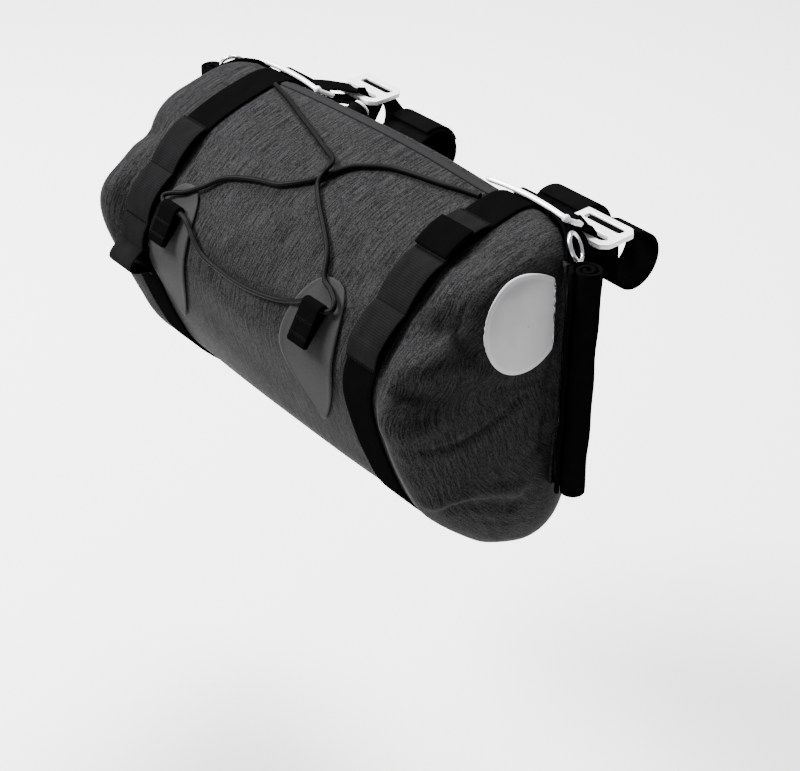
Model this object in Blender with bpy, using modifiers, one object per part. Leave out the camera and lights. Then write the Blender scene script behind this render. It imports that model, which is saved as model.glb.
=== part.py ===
"""Bicycle handlebar bag: a coated-fabric tube with both ends rolled, strapped to a drop bar.

Units are metres. The origin is on the handlebar's axis at mid-length, +X along the bar,
-Y to the front of the bag and +Z up.
"""
import math

import bpy
import numpy as np
from mathutils import Euler, Matrix, Vector
from mathutils.bvhtree import BVHTree

# Handlebar and how the bag hangs from it
BAR_RADIUS = 0.0159
BAR_TO_BAG = 0.0300
TOP_ABOVE_BAR = 0.0420

# Bag body
BAG_DEPTH = 0.1410
BAG_HEIGHT = 0.2270
STRAP_SPACING = 0.2220
END_REACH = 0.0395
STRAP_BED = 0.0150
SWELL = 0.0030
FABRIC = 0.0015
GAP = 0.00035

# Webbing
WEB_WIDTH = 0.0250
WEB = 0.0016
DAISY_RISE = 0.0028
DAISY_LIP = 0.0140
DAISY_LENGTH = 0.1020
DAISY_START = {"right": 0.2560, "left": 0.3180}
DAISY_LOOPS = 3
LIP_SHARE = 0.20

# Metal loops on top of the straps: the strap's tab and the link share the rear rail, side by side,
# and the link slants on its way to the buckle
FRAME_DEPTH = 0.0170
FRAME_RAIL = 0.0040
FRAME_ROOM = 0.0120
LINK_WIDTH = 0.0200
LINK_END = 0.0010
METAL = 0.0030
FRAME_PLACE = 0.1880
FRAME_SHIFT = 0.0030
FRAME_LENGTH = 2 * WEB_WIDTH + FRAME_ROOM + 2 * FRAME_RAIL
LINK_SHIFT = FRAME_SHIFT + FRAME_LENGTH / 2 - FRAME_RAIL - LINK_WIDTH / 2 - LINK_END
LINK_SLANT = 0.0080

# Hook buckles, and how far their middle lies out from the strap, in front of the bar's axis and over it
BUCKLE_DEPTH = 0.0280
BUCKLE_RAIL = 0.0045
BUCKLE_SLOT = 0.0060
BUCKLE_END = 0.0055
SLOT_ROOM = 0.0015
BUCKLE_LENGTH = WEB_WIDTH + 2 * (SLOT_ROOM + BUCKLE_END)
BUCKLE_OUT = {"right": 0.0320, "left": 0.0310}
BUCKLE_FRONT = {"right": 0.0240, "left": 0.0070}
BUCKLE_OVER = {"right": 0.0091, "left": 0.0121}

# Hook-and-loop straps round the bar, their place from the bag's strap, and their foam spacers
BAR_STRAP_WIDTH = 0.0390
BAR_STRAP_IN = {"right": 0.0130, "left": 0.0710}
PAD_HEIGHT = 0.0238
PAD_WIDTH = 0.0360
PAD_DROP = 0.0102
PAD_ROUND = 0.0020

# Rolled ends and their fastening
ROLL_CLOTH = 0.0024
ROLL_PITCH = 0.0036
ROLL_TURNS = 2.2
END_WEB_WIDTH = 0.0140
END_WEB_PLACE = 0.190
END_WEB_ROWS = 15
END_RING_ROW = 8
RING_RADIUS = 0.0080
RING_WIRE = 0.0026

# Cord, anchors, patches, seam and snap
CORD = 0.0032
ANCHOR_WIDTH = 0.0160
ANCHOR_LENGTH = 0.0220
ANCHORS = {"right": (0.0655, 0.4080), "left": (-0.0790, 0.4050)}
PATCH = 0.0006
ANCHOR_PATCH_WIDTH = 0.0470
ANCHOR_PATCH_HEIGHT = 0.0960
ANCHOR_PATCH_DROP = 0.0297
END_PATCH_RADIUS = 0.0290
END_PATCH_PLACE = (0.460, 0.172)
WELT_WIDTH = 0.0065
WELT = 0.0010
WELT_PLACE = 0.2135
SNAP_RADIUS = 0.0060
SNAP_CAP = 0.0026
SNAP_BASE = 0.0090
SNAP_ROUND = 0.0008
SNAP_INSET = 0.0540
SNAP_PLACE = 0.165

# Points round the bag, round a strap, which shares every one of them, and round the bar
GIRTH_POINTS = 40
STRAP_POINTS = 2 * GIRTH_POINTS
BAR_POINTS = 32

# Outline of the bag seen along the bar: share of the depth, from the back, and of the height
SECTION = (
    # depth  height
    (0.000, 0.498),
    (0.007, 0.696),
    (0.028, 0.828),
    (0.100, 0.947),
    (0.213, 1.000),
    (0.433, 0.978),
    (0.631, 0.934),
    (0.745, 0.881),
    (0.858, 0.815),
    (0.957, 0.740),
    (1.000, 0.652),
    (0.965, 0.537),
    (0.887, 0.392),
    (0.787, 0.269),
    (0.567, 0.128),
    (0.426, 0.057),
    (0.234, 0.004),
    (0.092, 0.035),
    (0.021, 0.167),
    (0.000, 0.344),
)

# From the strap's edge out to the mouth: reach of the back and front wall as a share of END_REACH,
# their place as a share of the depth, and the top and foot as a share of the height
END_RINGS = (
    # back x, back y, front x, front y, top, foot
    (0.000, 0.000, 0.000, 1.000, 1.000, 0.000),
    (0.177, 0.000, 0.177, 1.018, 1.003, -0.003),
    (0.304, 0.007, 0.380, 1.028, 1.004, 0.009),
    (0.532, 0.035, 0.608, 1.000, 0.998, 0.048),
    (0.684, 0.078, 0.785, 0.929, 0.987, 0.106),
    (0.785, 0.120, 0.886, 0.823, 0.974, 0.159),
    (0.848, 0.163, 0.949, 0.695, 0.965, 0.203),
    (0.886, 0.199, 0.987, 0.553, 0.956, 0.238),
    (0.906, 0.227, 1.000, 0.426, 0.949, 0.264),
    (0.911, 0.255, 0.987, 0.325, 0.943, 0.282),
)

# Rings between the straps, as a share of half their spacing
MIDDLE_RINGS = (-0.865, -0.54, -0.18, 0.18, 0.54, 0.865)

# The cord's route: place along the bag, share of the girth from the back, and lift over what it crosses
CORD_ROUTE = (
    (-0.0975, 0.226, 0.0),
    (-0.0750, 0.237, 0.0),
    (-0.0506, 0.251, 0.0),
    (-0.0123, 0.272, 0.0),
    (0.0026, 0.281, 0.0008),
    (0.0090, 0.2955, 0.0037),
    (0.0108, 0.311, 0.0008),
    (0.0224, 0.3264, 0.0),
    (0.0369, 0.3431, 0.0),
    (0.0505, 0.3611, 0.0004),
    (0.0596, 0.3819, 0.0011),
    (0.0680, 0.3880, 0.0016),
    (0.0762, 0.3955, 0.0028),
    (0.0778, 0.4030, 0.0032),
    (0.0725, 0.4080, 0.0032),
    (0.0655, 0.4080, 0.0032),
    (0.0575, 0.4080, 0.0032),
    (0.0490, 0.4140, 0.0014),
    (0.0300, 0.4236, 0.0),
    (0.0080, 0.4292, 0.0),
    (-0.0149, 0.4306, 0.0),
    (-0.0376, 0.4278, 0.0),
    (-0.0540, 0.4150, 0.0016),
    (-0.0620, 0.4080, 0.0028),
    (-0.0690, 0.4050, 0.0032),
    (-0.0790, 0.4050, 0.0032),
    (-0.0890, 0.4050, 0.0032),
    (-0.0935, 0.3990, 0.0032),
    (-0.0885, 0.3915, 0.0020),
    (-0.0790, 0.3840, 0.0014),
    (-0.0680, 0.3700, 0.0008),
    (-0.0565, 0.3514, 0.0),
    (-0.0350, 0.3375, 0.0),
    (-0.0132, 0.3292, 0.0),
    (0.0040, 0.3100, 0.0),
    (0.0095, 0.2955, 0.0),
    (0.0166, 0.2764, 0.0),
    (0.0252, 0.2653, 0.0),
    (0.0372, 0.2542, 0.0),
    (0.0527, 0.2472, 0.0),
    (0.0714, 0.2403, 0.0),
    (0.0860, 0.2330, 0.0),
    (0.0975, 0.2290, 0.0),
)
CORD_POINTS = 80

for old in list(bpy.data.objects):
    bpy.data.objects.remove(old, do_unlink=True)
BAG = bpy.data.collections.new("handlebar_bag")
bpy.context.scene.collection.children.link(BAG)


def material(name, color, roughness, metallic=0.0):
    made = bpy.data.materials.new(name)
    made.use_nodes = True
    shader = made.node_tree.nodes["Principled BSDF"]
    shader.inputs["Base Color"].default_value = (*color, 1.0)
    shader.inputs["Roughness"].default_value = roughness
    shader.inputs["Metallic"].default_value = metallic
    return made


def mesh_object(name, points, faces, finish):
    mesh = bpy.data.meshes.new(name)
    mesh.from_pydata([tuple(p) for p in points], [], faces)
    mesh.update()
    mesh.materials.append(finish)
    made = bpy.data.objects.new(name, mesh)
    BAG.objects.link(made)
    return made


def adopt(name, finish):
    """Name the primitive just added, give it its finish and move it into the bag's collection."""
    made = bpy.context.object
    made.name = name
    made.data.materials.append(finish)
    for user in list(made.users_collection):
        user.objects.unlink(made)
    BAG.objects.link(made)
    return made


def smooth(made, angle=40):
    made.data.shade_smooth()
    made.data.set_sharp_from_angle(angle=math.radians(angle))
    return made


def spline(rows, places, closed=False):
    """Catmull-Rom curve through the rows, read at places counted in rows."""
    rows = np.asarray(rows, float)
    places = np.atleast_1d(np.asarray(places, float))
    base = np.floor(places).astype(int)
    part = (places - base)[:, None]

    def row(index):
        if closed:
            return rows[index % len(rows)]
        return rows[np.clip(index, 0, len(rows) - 1)]

    a, b, c, d = row(base - 1), row(base), row(base + 1), row(base + 2)
    return 0.5 * (
        2 * b
        + (c - a) * part
        + (2 * a - 5 * b + 4 * c - d) * part**2
        + (3 * b - a - 3 * c + d) * part**3
    )


def girth_table():
    """Shares along the outline against the share of its length."""
    shares = spline(SECTION, np.linspace(0, len(SECTION), 2001), closed=True)
    steps = np.linalg.norm(np.diff(shares * [BAG_DEPTH, BAG_HEIGHT], axis=0), axis=1)
    length = np.concatenate([[0.0], np.cumsum(steps)])
    return shares, length / length[-1], length[-1]


SHARES, LENGTHS, GIRTH = girth_table()


def section(girth):
    girth = np.asarray(girth) % 1.0
    return np.interp(girth, LENGTHS, SHARES[:, 0]), np.interp(girth, LENGTHS, SHARES[:, 1])


def body_points(x, girth):
    """Points of the bag's outside between the straps, at place x and shares of the girth."""
    depth, height = section(girth)
    flat = STRAP_SPACING / 2 - STRAP_BED
    share = np.clip((flat - abs(x)) / flat, 0.0, 1.0)
    swell = SWELL * math.sin(math.pi / 2 * share)
    y = -BAR_TO_BAG - depth * BAG_DEPTH
    z = TOP_ABOVE_BAR - BAG_HEIGHT + height * BAG_HEIGHT
    mid_y = -BAR_TO_BAG - BAG_DEPTH / 2
    mid_z = TOP_ABOVE_BAR - BAG_HEIGHT / 2
    y = np.where(y < mid_y, mid_y + (y - mid_y) * (1 + 2 * swell / BAG_DEPTH), y)
    z = mid_z + (z - mid_z) * (1 + 2 * swell / BAG_HEIGHT)
    return np.stack([np.full_like(y, x), y, z], axis=-1)


def end_points(side, place, girth):
    """Points of the bag's outside beyond a strap, at a place counted in END_RINGS rows."""
    depth, height = section(girth)
    back_x, back_y, front_x, front_y, top, foot = spline(END_RINGS, place)[0]
    x = STRAP_SPACING / 2 + STRAP_BED + END_REACH * (back_x + (front_x - back_x) * depth)
    y = -BAR_TO_BAG - BAG_DEPTH * (back_y + (front_y - back_y) * depth)
    z = TOP_ABOVE_BAR + BAG_HEIGHT * (foot + (top - foot) * height - 1.0)
    return np.stack([side * x, y, z], axis=-1)


def body_frame(x, girth):
    """Point, outward normal and the direction of growing girth on the bag's outside."""
    step = 1e-4
    around = body_points(x, [girth - step, girth, girth + step])
    along = (body_points(x + step, [girth]) - body_points(x - step, [girth]))[0]
    tangent = Vector(around[2] - around[0]).normalized()
    normal = tangent.cross(Vector(along)).normalized()
    return Vector(around[1]), normal, tangent


def bag_rings(middle, end_places, count):
    """Rings of points from one mouth to the other."""
    girth = np.arange(count) / count
    rings = [end_points(-1, place, girth) for place in reversed(end_places)]
    rings += [body_points(share * STRAP_SPACING / 2, girth) for share in middle]
    rings += [end_points(1, place, girth) for place in end_places]
    return np.array(rings)


def grid_faces(rows, columns, wrap):
    last = columns if wrap else columns - 1
    faces = []
    for i in range(rows - 1):
        for j in range(last):
            k = (j + 1) % columns
            faces.append((i * columns + j, i * columns + k, (i + 1) * columns + k, (i + 1) * columns + j))
    return faces


def sheet(name, grid, thickness, finish, outward, wrap=False, offset=1.0):
    """A cloth or webbing sheet on a grid of points, thickened to the side of outward."""
    grid = np.asarray(grid, float)
    rows, columns = grid.shape[:2]
    faces = grid_faces(rows, columns, wrap)
    corners = grid.reshape(-1, 3)[list(faces[len(faces) // 2])]
    facing = np.cross(corners[1] - corners[0], corners[2] - corners[0])
    if np.dot(facing, outward(corners.mean(axis=0))) < 0:
        faces = [face[::-1] for face in faces]
    made = mesh_object(name, grid.reshape(-1, 3), faces, finish)
    thick = made.modifiers.new("thickness", "SOLIDIFY")
    thick.thickness = thickness
    thick.offset = offset
    thick.use_even_offset = True
    return smooth(made)


def hull(points):
    """Outline of the taut band around points in a plane."""
    points = sorted(set((round(a, 7), round(b, 7)) for a, b in points))

    def half(ordered):
        kept = []
        for p in ordered:
            while len(kept) > 1 and (
                (kept[-1][0] - kept[-2][0]) * (p[1] - kept[-2][1])
                - (kept[-1][1] - kept[-2][1]) * (p[0] - kept[-2][0])
            ) <= 1e-12:
                kept.pop()
            kept.append(p)
        return kept[:-1]

    return half(points) + half(points[::-1])


def pulley(y, z, radius, steps):
    return [
        (y + radius * math.cos(2 * math.pi * k / steps), z + radius * math.sin(2 * math.pi * k / steps))
        for k in range(steps)
    ]


def rail_pulleys(y, z, depth, thickness, tilt):
    """A band's turn around a flat metal rail, clear of it by the gap."""
    points = []
    for a, b in ((-1, -1), (1, -1), (1, 1), (-1, 1)):
        u, v = a * depth / 2, b * thickness / 2
        points += pulley(
            y + u * math.cos(tilt) - v * math.sin(tilt),
            z + u * math.sin(tilt) + v * math.cos(tilt),
            GAP,
            8,
        )
    return points


def band(name, outline, x, width, finish, thickness=WEB):
    """A closed band of webbing that runs along an outline in the YZ plane."""
    middle = np.mean(outline, axis=0)
    grid = [[(side, y, z) for y, z in outline] for side in (x - width / 2, x + width / 2)]

    def away(point):
        return np.array([0.0, point[1] - middle[0], point[2] - middle[1]])

    return sheet(name, grid, thickness, finish, away, wrap=True)


cloth = material("bag_cloth", (0.075, 0.076, 0.080), 0.72)
webbing = material("webbing", (0.014, 0.014, 0.015), 0.78)
ribbed = material("ribbed_webbing", (0.022, 0.022, 0.023), 0.75)
metal = material("white_metal", (0.84, 0.85, 0.87), 0.28, 0.35)
wire = material("wire_metal", (0.62, 0.63, 0.65), 0.25, 1.0)
foam = material("foam", (0.016, 0.016, 0.017), 0.85)
light_patch = material("light_patch", (0.60, 0.61, 0.63), 0.45)
weld = material("weld_patch", (0.100, 0.101, 0.105), 0.60)
elastic = material("elastic_cord", (0.017, 0.017, 0.018), 0.6)
cap = material("snap_white", (0.80, 0.80, 0.81), 0.4)


def from_middle(point):
    """Outward from the bag's long middle line."""
    return np.array([0.0, point[1] + BAR_TO_BAG + BAG_DEPTH / 2, point[2] - TOP_ABOVE_BAR + BAG_HEIGHT / 2])


# Fabric tube, open at the two flattened mouths inside the rolls
END_PLACES = list(range(len(END_RINGS)))
tube = bag_rings(MIDDLE_RINGS, END_PLACES, GIRTH_POINTS)
sheet("bag_shell", tube, FABRIC, cloth, from_middle, wrap=True, offset=-1.0)

# The outside's faces, to lay the end patches on
FORM = BVHTree.FromPolygons(
    [Vector(p) for p in tube.reshape(-1, 3)], grid_faces(len(tube), GIRTH_POINTS, True)
)

# Straps round the bag and the ribbed webbing on their front
SIDES = (("right", 1), ("left", -1))
strap_girth = np.arange(STRAP_POINTS) / STRAP_POINTS


def strap_point(x, girth, lift):
    point, normal, _ = body_frame(x, girth)
    return point + normal * lift


def strap_outline(x, lift):
    return [tuple(strap_point(x, girth, lift)[1:]) for girth in strap_girth]


def daisy_path(x, start, lip):
    """Webbing sewn down at bar tacks and standing off between them."""
    points = []
    steps = 10 * DAISY_LOOPS
    for k in range(steps + 1):
        share = k / steps
        girth = start + share * DAISY_LENGTH / GIRTH
        rise = DAISY_RISE * abs(math.sin(DAISY_LOOPS * math.pi * share)) ** 0.7
        if share > 1 - LIP_SHARE:
            rise = max(rise, lip * math.sin(math.pi * (1 - share) / LIP_SHARE) ** 1.5)
        points.append(strap_point(x, girth, 2 * GAP + WEB + rise)[1:])
    return points


for label, side in SIDES:
    strap_x = side * STRAP_SPACING / 2
    band(f"strap_{label}", strap_outline(strap_x, GAP), strap_x, WEB_WIDTH, webbing)
    lip = DAISY_LIP if label == "left" else DAISY_RISE
    path = daisy_path(strap_x, DAISY_START[label], lip)
    edges = (strap_x - WEB_WIDTH / 2, strap_x + WEB_WIDTH / 2)
    sheet(f"daisy_{label}", [[(x, y, z) for y, z in path] for x in edges], WEB, ribbed, from_middle)

# Metal loops: flat rings that lie over the strap just behind the bag's crest


def flat_plate(name, outline, holes, thickness, finish, location, tilt):
    curve = bpy.data.curves.new(name, "CURVE")
    curve.dimensions = "2D"
    curve.fill_mode = "BOTH"
    curve.extrude = thickness / 2
    for loop in (outline, *holes):
        line = curve.splines.new("POLY")
        line.points.add(len(loop) - 1)
        for point, (x, y) in zip(line.points, loop):
            point.co = (x, y, 0.0, 1.0)
        line.use_cyclic_u = True
    curve.materials.append(finish)
    made = bpy.data.objects.new(name, curve)
    made.location = location
    made.rotation_euler = Euler((tilt, 0.0, 0.0))
    BAG.objects.link(made)
    return made


def rounded(x0, x1, y0, y1, radius, steps=4):
    """Corner points of a rectangle with round corners."""
    points = []
    for cx, cy, start in (
        (x1 - radius, y1 - radius, 0.0),
        (x0 + radius, y1 - radius, 0.5),
        (x0 + radius, y0 + radius, 1.0),
        (x1 - radius, y0 + radius, 1.5),
    ):
        for k in range(steps + 1):
            angle = math.pi * (start + 0.5 * k / steps)
            points.append((cx + radius * math.cos(angle), cy + radius * math.sin(angle)))
    return points


FRAME_LIFT = GAP + WEB + GAP + WEB + GAP + METAL / 2
on_bar = pulley(0.0, 0.0, BAR_RADIUS + GAP, BAR_POINTS)
for label, side in SIDES:
    strap_x = side * STRAP_SPACING / 2
    seat, normal, tangent = body_frame(strap_x, FRAME_PLACE)
    tilt = math.atan2(-tangent.z, -tangent.y)
    centre = seat + normal * FRAME_LIFT
    centre.x = strap_x + FRAME_SHIFT
    half, deep = FRAME_LENGTH / 2, FRAME_DEPTH / 2
    window = rounded(
        -half + FRAME_RAIL, half - FRAME_RAIL, -deep + FRAME_RAIL, deep - FRAME_RAIL, FRAME_RAIL / 4
    )
    outside = rounded(-half, half, -deep, deep, FRAME_RAIL)
    flat_plate(f"frame_{label}", outside, [window], METAL, metal, centre, tilt)

    rail_way = Vector((0.0, math.cos(tilt), math.sin(tilt))) * (deep - FRAME_RAIL / 2)
    rear_rail = centre + rail_way
    around_rear = rail_pulleys(rear_rail.y, rear_rail.z, FRAME_RAIL, METAL, tilt)
    band(f"frame_tab_{label}", hull(around_rear), strap_x, WEB_WIDTH, webbing)

    # Hook buckle over the bar, its front bar in the link and its slot on the bar loop
    buckle_x = strap_x + BUCKLE_OUT[label]
    buckle_y = -BUCKLE_FRONT[label]
    buckle_z = BAR_RADIUS + BUCKLE_OVER[label]
    half, deep = BUCKLE_LENGTH / 2, BUCKLE_DEPTH / 2
    slot_back = deep - BUCKLE_RAIL
    slot_front = slot_back - BUCKLE_SLOT
    mouth_front = -deep + BUCKLE_RAIL
    mouth_back = mouth_front + BUCKLE_SLOT
    slot = rounded(-half + BUCKLE_END, half - BUCKLE_END, slot_front, slot_back, BUCKLE_SLOT / 6)
    inner = half - BUCKLE_RAIL
    outline = [
        (-half, deep),
        (-half, mouth_back),
        (inner - BUCKLE_SLOT / 2, mouth_back),
        (inner, mouth_back - BUCKLE_SLOT / 2),
        (inner - BUCKLE_SLOT / 2, mouth_front),
        (-half + BUCKLE_RAIL, mouth_front),
        (-half + BUCKLE_RAIL / 2, mouth_front - BUCKLE_RAIL / 2),
        (-half + BUCKLE_RAIL, -deep),
        (half - BUCKLE_RAIL, -deep),
        (half, -deep + BUCKLE_RAIL),
        (half, deep - BUCKLE_RAIL),
        (half - BUCKLE_RAIL, deep),
    ]
    buckle_at = Vector((buckle_x, buckle_y, buckle_z))
    flat_plate(f"buckle_{label}", outline, [slot], METAL, metal, buckle_at, 0.0)

    front_bar = rail_pulleys(buckle_y - deep + BUCKLE_RAIL / 2, buckle_z, BUCKLE_RAIL, METAL, 0.0)
    link_x = strap_x + LINK_SHIFT
    slant = LINK_SLANT / (rear_rail.z - buckle_z)
    link = band(f"link_{label}", hull(around_rear + front_bar), link_x, LINK_WIDTH, webbing)
    for corner in link.data.vertices:
        corner.co.x += slant * max(0.0, min(rear_rail.z - buckle_z, rear_rail.z - corner.co.z))

    back_rail = rail_pulleys(buckle_y + deep - BUCKLE_RAIL / 2, buckle_z, BUCKLE_RAIL, METAL, 0.0)
    band(f"bar_loop_{label}", hull(on_bar + back_rail), buckle_x, WEB_WIDTH, webbing)

# Hook-and-loop straps round the bar and the foam spacers inside them


def back_of_bag(z):
    """Where the bag's back wall is at a height between its middle and its crest."""
    rising = SHARES[: len(SHARES) * 4 // len(SECTION)]
    share = np.interp((z - TOP_ABOVE_BAR) / BAG_HEIGHT + 1.0, rising[:, 1], rising[:, 0])
    return -BAR_TO_BAG - share * BAG_DEPTH


pad_back = -BAR_RADIUS - GAP
for label, side in SIDES:
    x = side * (STRAP_SPACING / 2 - BAR_STRAP_IN[label])
    beside_strap = BAR_STRAP_IN[label] > (BAR_STRAP_WIDTH + WEB_WIDTH) / 2
    layers = 1 if beside_strap else 2
    foot = -PAD_DROP - PAD_HEIGHT / 2 - 6 * GAP
    head = -PAD_DROP + PAD_HEIGHT / 2 + 6 * GAP
    pad_front = back_of_bag(foot) + 2 * GAP + layers * (WEB + GAP)
    front_corners = pulley(pad_front + GAP, foot, GAP * 2, 8) + pulley(pad_front + GAP, head, GAP * 2, 8)
    band(f"bar_strap_{label}", hull(on_bar + front_corners), x, BAR_STRAP_WIDTH, webbing)
    bpy.ops.mesh.primitive_cube_add(size=1.0)
    pad = adopt(f"bar_pad_{label}", foam)
    depth = pad_back - pad_front - 3 * GAP
    pad.data.transform(Matrix.Diagonal((PAD_WIDTH, depth, PAD_HEIGHT, 1.0)))
    pad.location = (x, (pad_back + pad_front) / 2 + GAP / 2, -PAD_DROP)
    edge = pad.modifiers.new("edge", "BEVEL")
    edge.width = PAD_ROUND
    edge.segments = 2

# Rolled ends, their webbing and ring
for label, side in SIDES:
    mouth = end_points(side, END_PLACES[-1], np.linspace(0, 1, 60, endpoint=False))
    low, high = mouth[:, 2].min(), mouth[:, 2].max()
    outer = ROLL_PITCH * ROLL_TURNS + ROLL_CLOTH / 2
    centre_x = abs(mouth[:, 0]).max() + GAP + PATCH + GAP + outer + ROLL_CLOTH / 2
    centre_y = mouth[:, 1].max() + GAP
    spiral = []
    steps = round(14 * ROLL_TURNS)
    for k in range(steps + 1):
        share = k / steps
        angle = math.pi + 2 * math.pi * ROLL_TURNS * (1 - share)
        radius = ROLL_PITCH * ROLL_TURNS * (1 - share) + ROLL_CLOTH / 2
        spiral.append((side * (centre_x + radius * math.cos(angle)), centre_y + radius * math.sin(angle)))
    rows = [[(x, y, z) for x, y in spiral] for z in (low, high)]
    sheet(f"roll_{label}", rows, ROLL_CLOTH, cloth, lambda point: np.array([0.0, 0.0, 1.0]), offset=0.0)

    # Webbing from the top of the bag down its end to the roll
    grid, normals = [], []
    for place in np.linspace(1.0, len(END_RINGS) - 2, END_WEB_ROWS):
        spread = END_WEB_WIDTH / 2 / GIRTH
        ring = end_points(side, place, [END_WEB_PLACE - spread, END_WEB_PLACE, END_WEB_PLACE + spread])
        ahead = end_points(side, place + 0.05, [END_WEB_PLACE])[0]
        tangent = Vector(ring[2] - ring[0])
        forward = Vector(ahead - ring[1])
        normal = tangent.cross(forward).normalized() * side
        normals.append(normal)
        width = END_WEB_WIDTH / tangent.length
        grid.append([Vector(ring[1]) + (Vector(p) - Vector(ring[1])) * width + normal * GAP for p in ring])
    sheet(f"end_strap_{label}", grid, WEB, webbing, lambda point: np.array([0.2 * side, 0.2, 1.0]))
    normal = normals[END_RING_ROW]
    tip = grid[END_RING_ROW][1] + normal * (WEB + GAP + RING_WIRE / 2)
    bpy.ops.mesh.primitive_torus_add(
        major_radius=RING_RADIUS,
        minor_radius=RING_WIRE / 2,
        major_segments=20,
        minor_segments=6,
        location=tip,
        rotation=normal.to_track_quat("Z", "Y").to_euler(),
    )
    smooth(adopt(f"end_ring_{label}", wire))

BETWEEN_STRAPS = STRAP_SPACING / 2 - WEB_WIDTH / 2 - GAP

# Welded seam strip on the crest, between the straps
laid = []
for place in np.linspace(-BETWEEN_STRAPS, BETWEEN_STRAPS, 16):
    row = []
    for share in (-1, 0, 1):
        point, normal, _ = body_frame(place, WELT_PLACE + share * WELT_WIDTH / 2 / GIRTH)
        row.append(point + normal * GAP)
    laid.append(row)
sheet("top_welt", laid, WELT, weld, from_middle)


# Cord anchors on their welded patches
def shield(share):
    """Half width of a patch that is round above and pointed below."""
    if share < 0:
        return math.sqrt(max(0.0, 1 - share * share)) * 0.94 + 0.06
    return 1.0 - 0.94 * share**1.6


def anchor_patch(name, x, girth):
    """A thin shield laid on the bag's front under the anchor, trimmed at the straps."""
    grid = []
    for share in np.linspace(-1, 1, 10):
        row = []
        for across in np.linspace(-1, 1, 5):
            place = x + across * shield(share) * ANCHOR_PATCH_WIDTH / 2
            place = max(-BETWEEN_STRAPS, min(BETWEEN_STRAPS, place))
            drop = ANCHOR_PATCH_DROP + share * ANCHOR_PATCH_HEIGHT / 2
            point, normal, _ = body_frame(place, girth + drop / GIRTH)
            row.append(point + normal * GAP)
        grid.append(row)
    sheet(name, grid, PATCH, weld, from_middle)


for label, side in SIDES:
    x, girth = ANCHORS[label]
    anchor_patch(f"anchor_patch_{label}", x, girth)
    point, normal, tangent = body_frame(x, girth)
    eye = CORD / 2 + 2 * GAP
    height = GAP + PATCH + GAP + WEB + eye
    turn = pulley(0.0, height, eye, 12)
    foot = pulley(ANCHOR_LENGTH, height - CORD / 2, GAP, 8)
    outline = hull(turn + foot)
    grid = []
    for edge in (-ANCHOR_WIDTH / 2, ANCHOR_WIDTH / 2):
        grid.append([point + tangent * a + normal * b + Vector((edge, 0, 0)) for a, b in outline])
    centre = np.array(grid, float).reshape(-1, 3).mean(axis=0)
    sheet(f"anchor_{label}", grid, WEB, webbing, lambda p, c=centre: np.array([0, *(p - c)[1:]]), wrap=True)

# Light round patches on the bag's ends
patch_y = -BAR_TO_BAG - END_PATCH_PLACE[0] * BAG_DEPTH
patch_z = TOP_ABOVE_BAR - END_PATCH_PLACE[1] * BAG_HEIGHT
for label, side in SIDES:
    grid = []
    mouth_front = end_points(side, END_PLACES[-1], LENGTHS[::20])[:, 1].min()
    for angle in np.radians(np.linspace(-84, 84, 10)):
        width = END_PATCH_RADIUS * math.cos(angle)
        line = []
        for y in np.linspace(patch_y - width, min(patch_y + width, mouth_front - PATCH), 7):
            z = patch_z + END_PATCH_RADIUS * math.sin(angle)
            origin = Vector((side * (STRAP_SPACING + END_REACH), y, z))
            found, normal, _, _ = FORM.ray_cast(origin, Vector((-side, 0.0, 0.0)))
            if normal.x * side < 0:
                normal = -normal
            line.append(found + normal * 3 * GAP)
        grid.append(line)
    sheet(f"end_patch_{label}", grid, PATCH, light_patch, lambda point: np.array([side, 0.0, 0.0]))

# Snap on the back shoulder beside the left buckle
point, normal, tangent = body_frame(-STRAP_SPACING / 2 + SNAP_INSET, SNAP_PLACE)
turn = normal.to_track_quat("Z", "Y").to_euler()
for name, radius, low, thick, finish in (
    ("snap_base", 1.5 * SNAP_RADIUS, GAP, SNAP_BASE, foam),
    ("snap_cap", SNAP_RADIUS, 2 * GAP + SNAP_BASE, SNAP_CAP, cap),
):
    bpy.ops.mesh.primitive_cylinder_add(
        vertices=16,
        radius=radius,
        depth=thick,
        location=point + normal * (low + thick / 2),
        rotation=turn,
    )
    disc = adopt(name, finish)
    edge = disc.modifiers.new("edge", "BEVEL")
    edge.width = SNAP_ROUND
    edge.segments = 1
    smooth(disc)

# Elastic cord along its route
route = spline(CORD_ROUTE, np.linspace(0, len(CORD_ROUTE) - 1, CORD_POINTS))
line_points = []
for x, girth, lift in route:
    point, normal, _ = body_frame(x, girth)
    line_points.append(point + normal * (GAP + CORD / 2 + lift))
curve = bpy.data.curves.new("bungee_cord", "CURVE")
curve.dimensions = "3D"
curve.bevel_depth = CORD / 2
curve.bevel_resolution = 2
curve.use_fill_caps = True
run = curve.splines.new("POLY")
run.points.add(len(line_points) - 1)
for target, point in zip(run.points, line_points):
    target.co = (*point, 1.0)
curve.materials.append(elastic)
BAG.objects.link(bpy.data.objects.new("bungee_cord", curve))
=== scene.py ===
"""Handlebar bag, dressed: cloth, webbing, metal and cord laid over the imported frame."""

import math

import bmesh
import bpy
import numpy as np
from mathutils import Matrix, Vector
from mathutils.bvhtree import BVHTree


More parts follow.
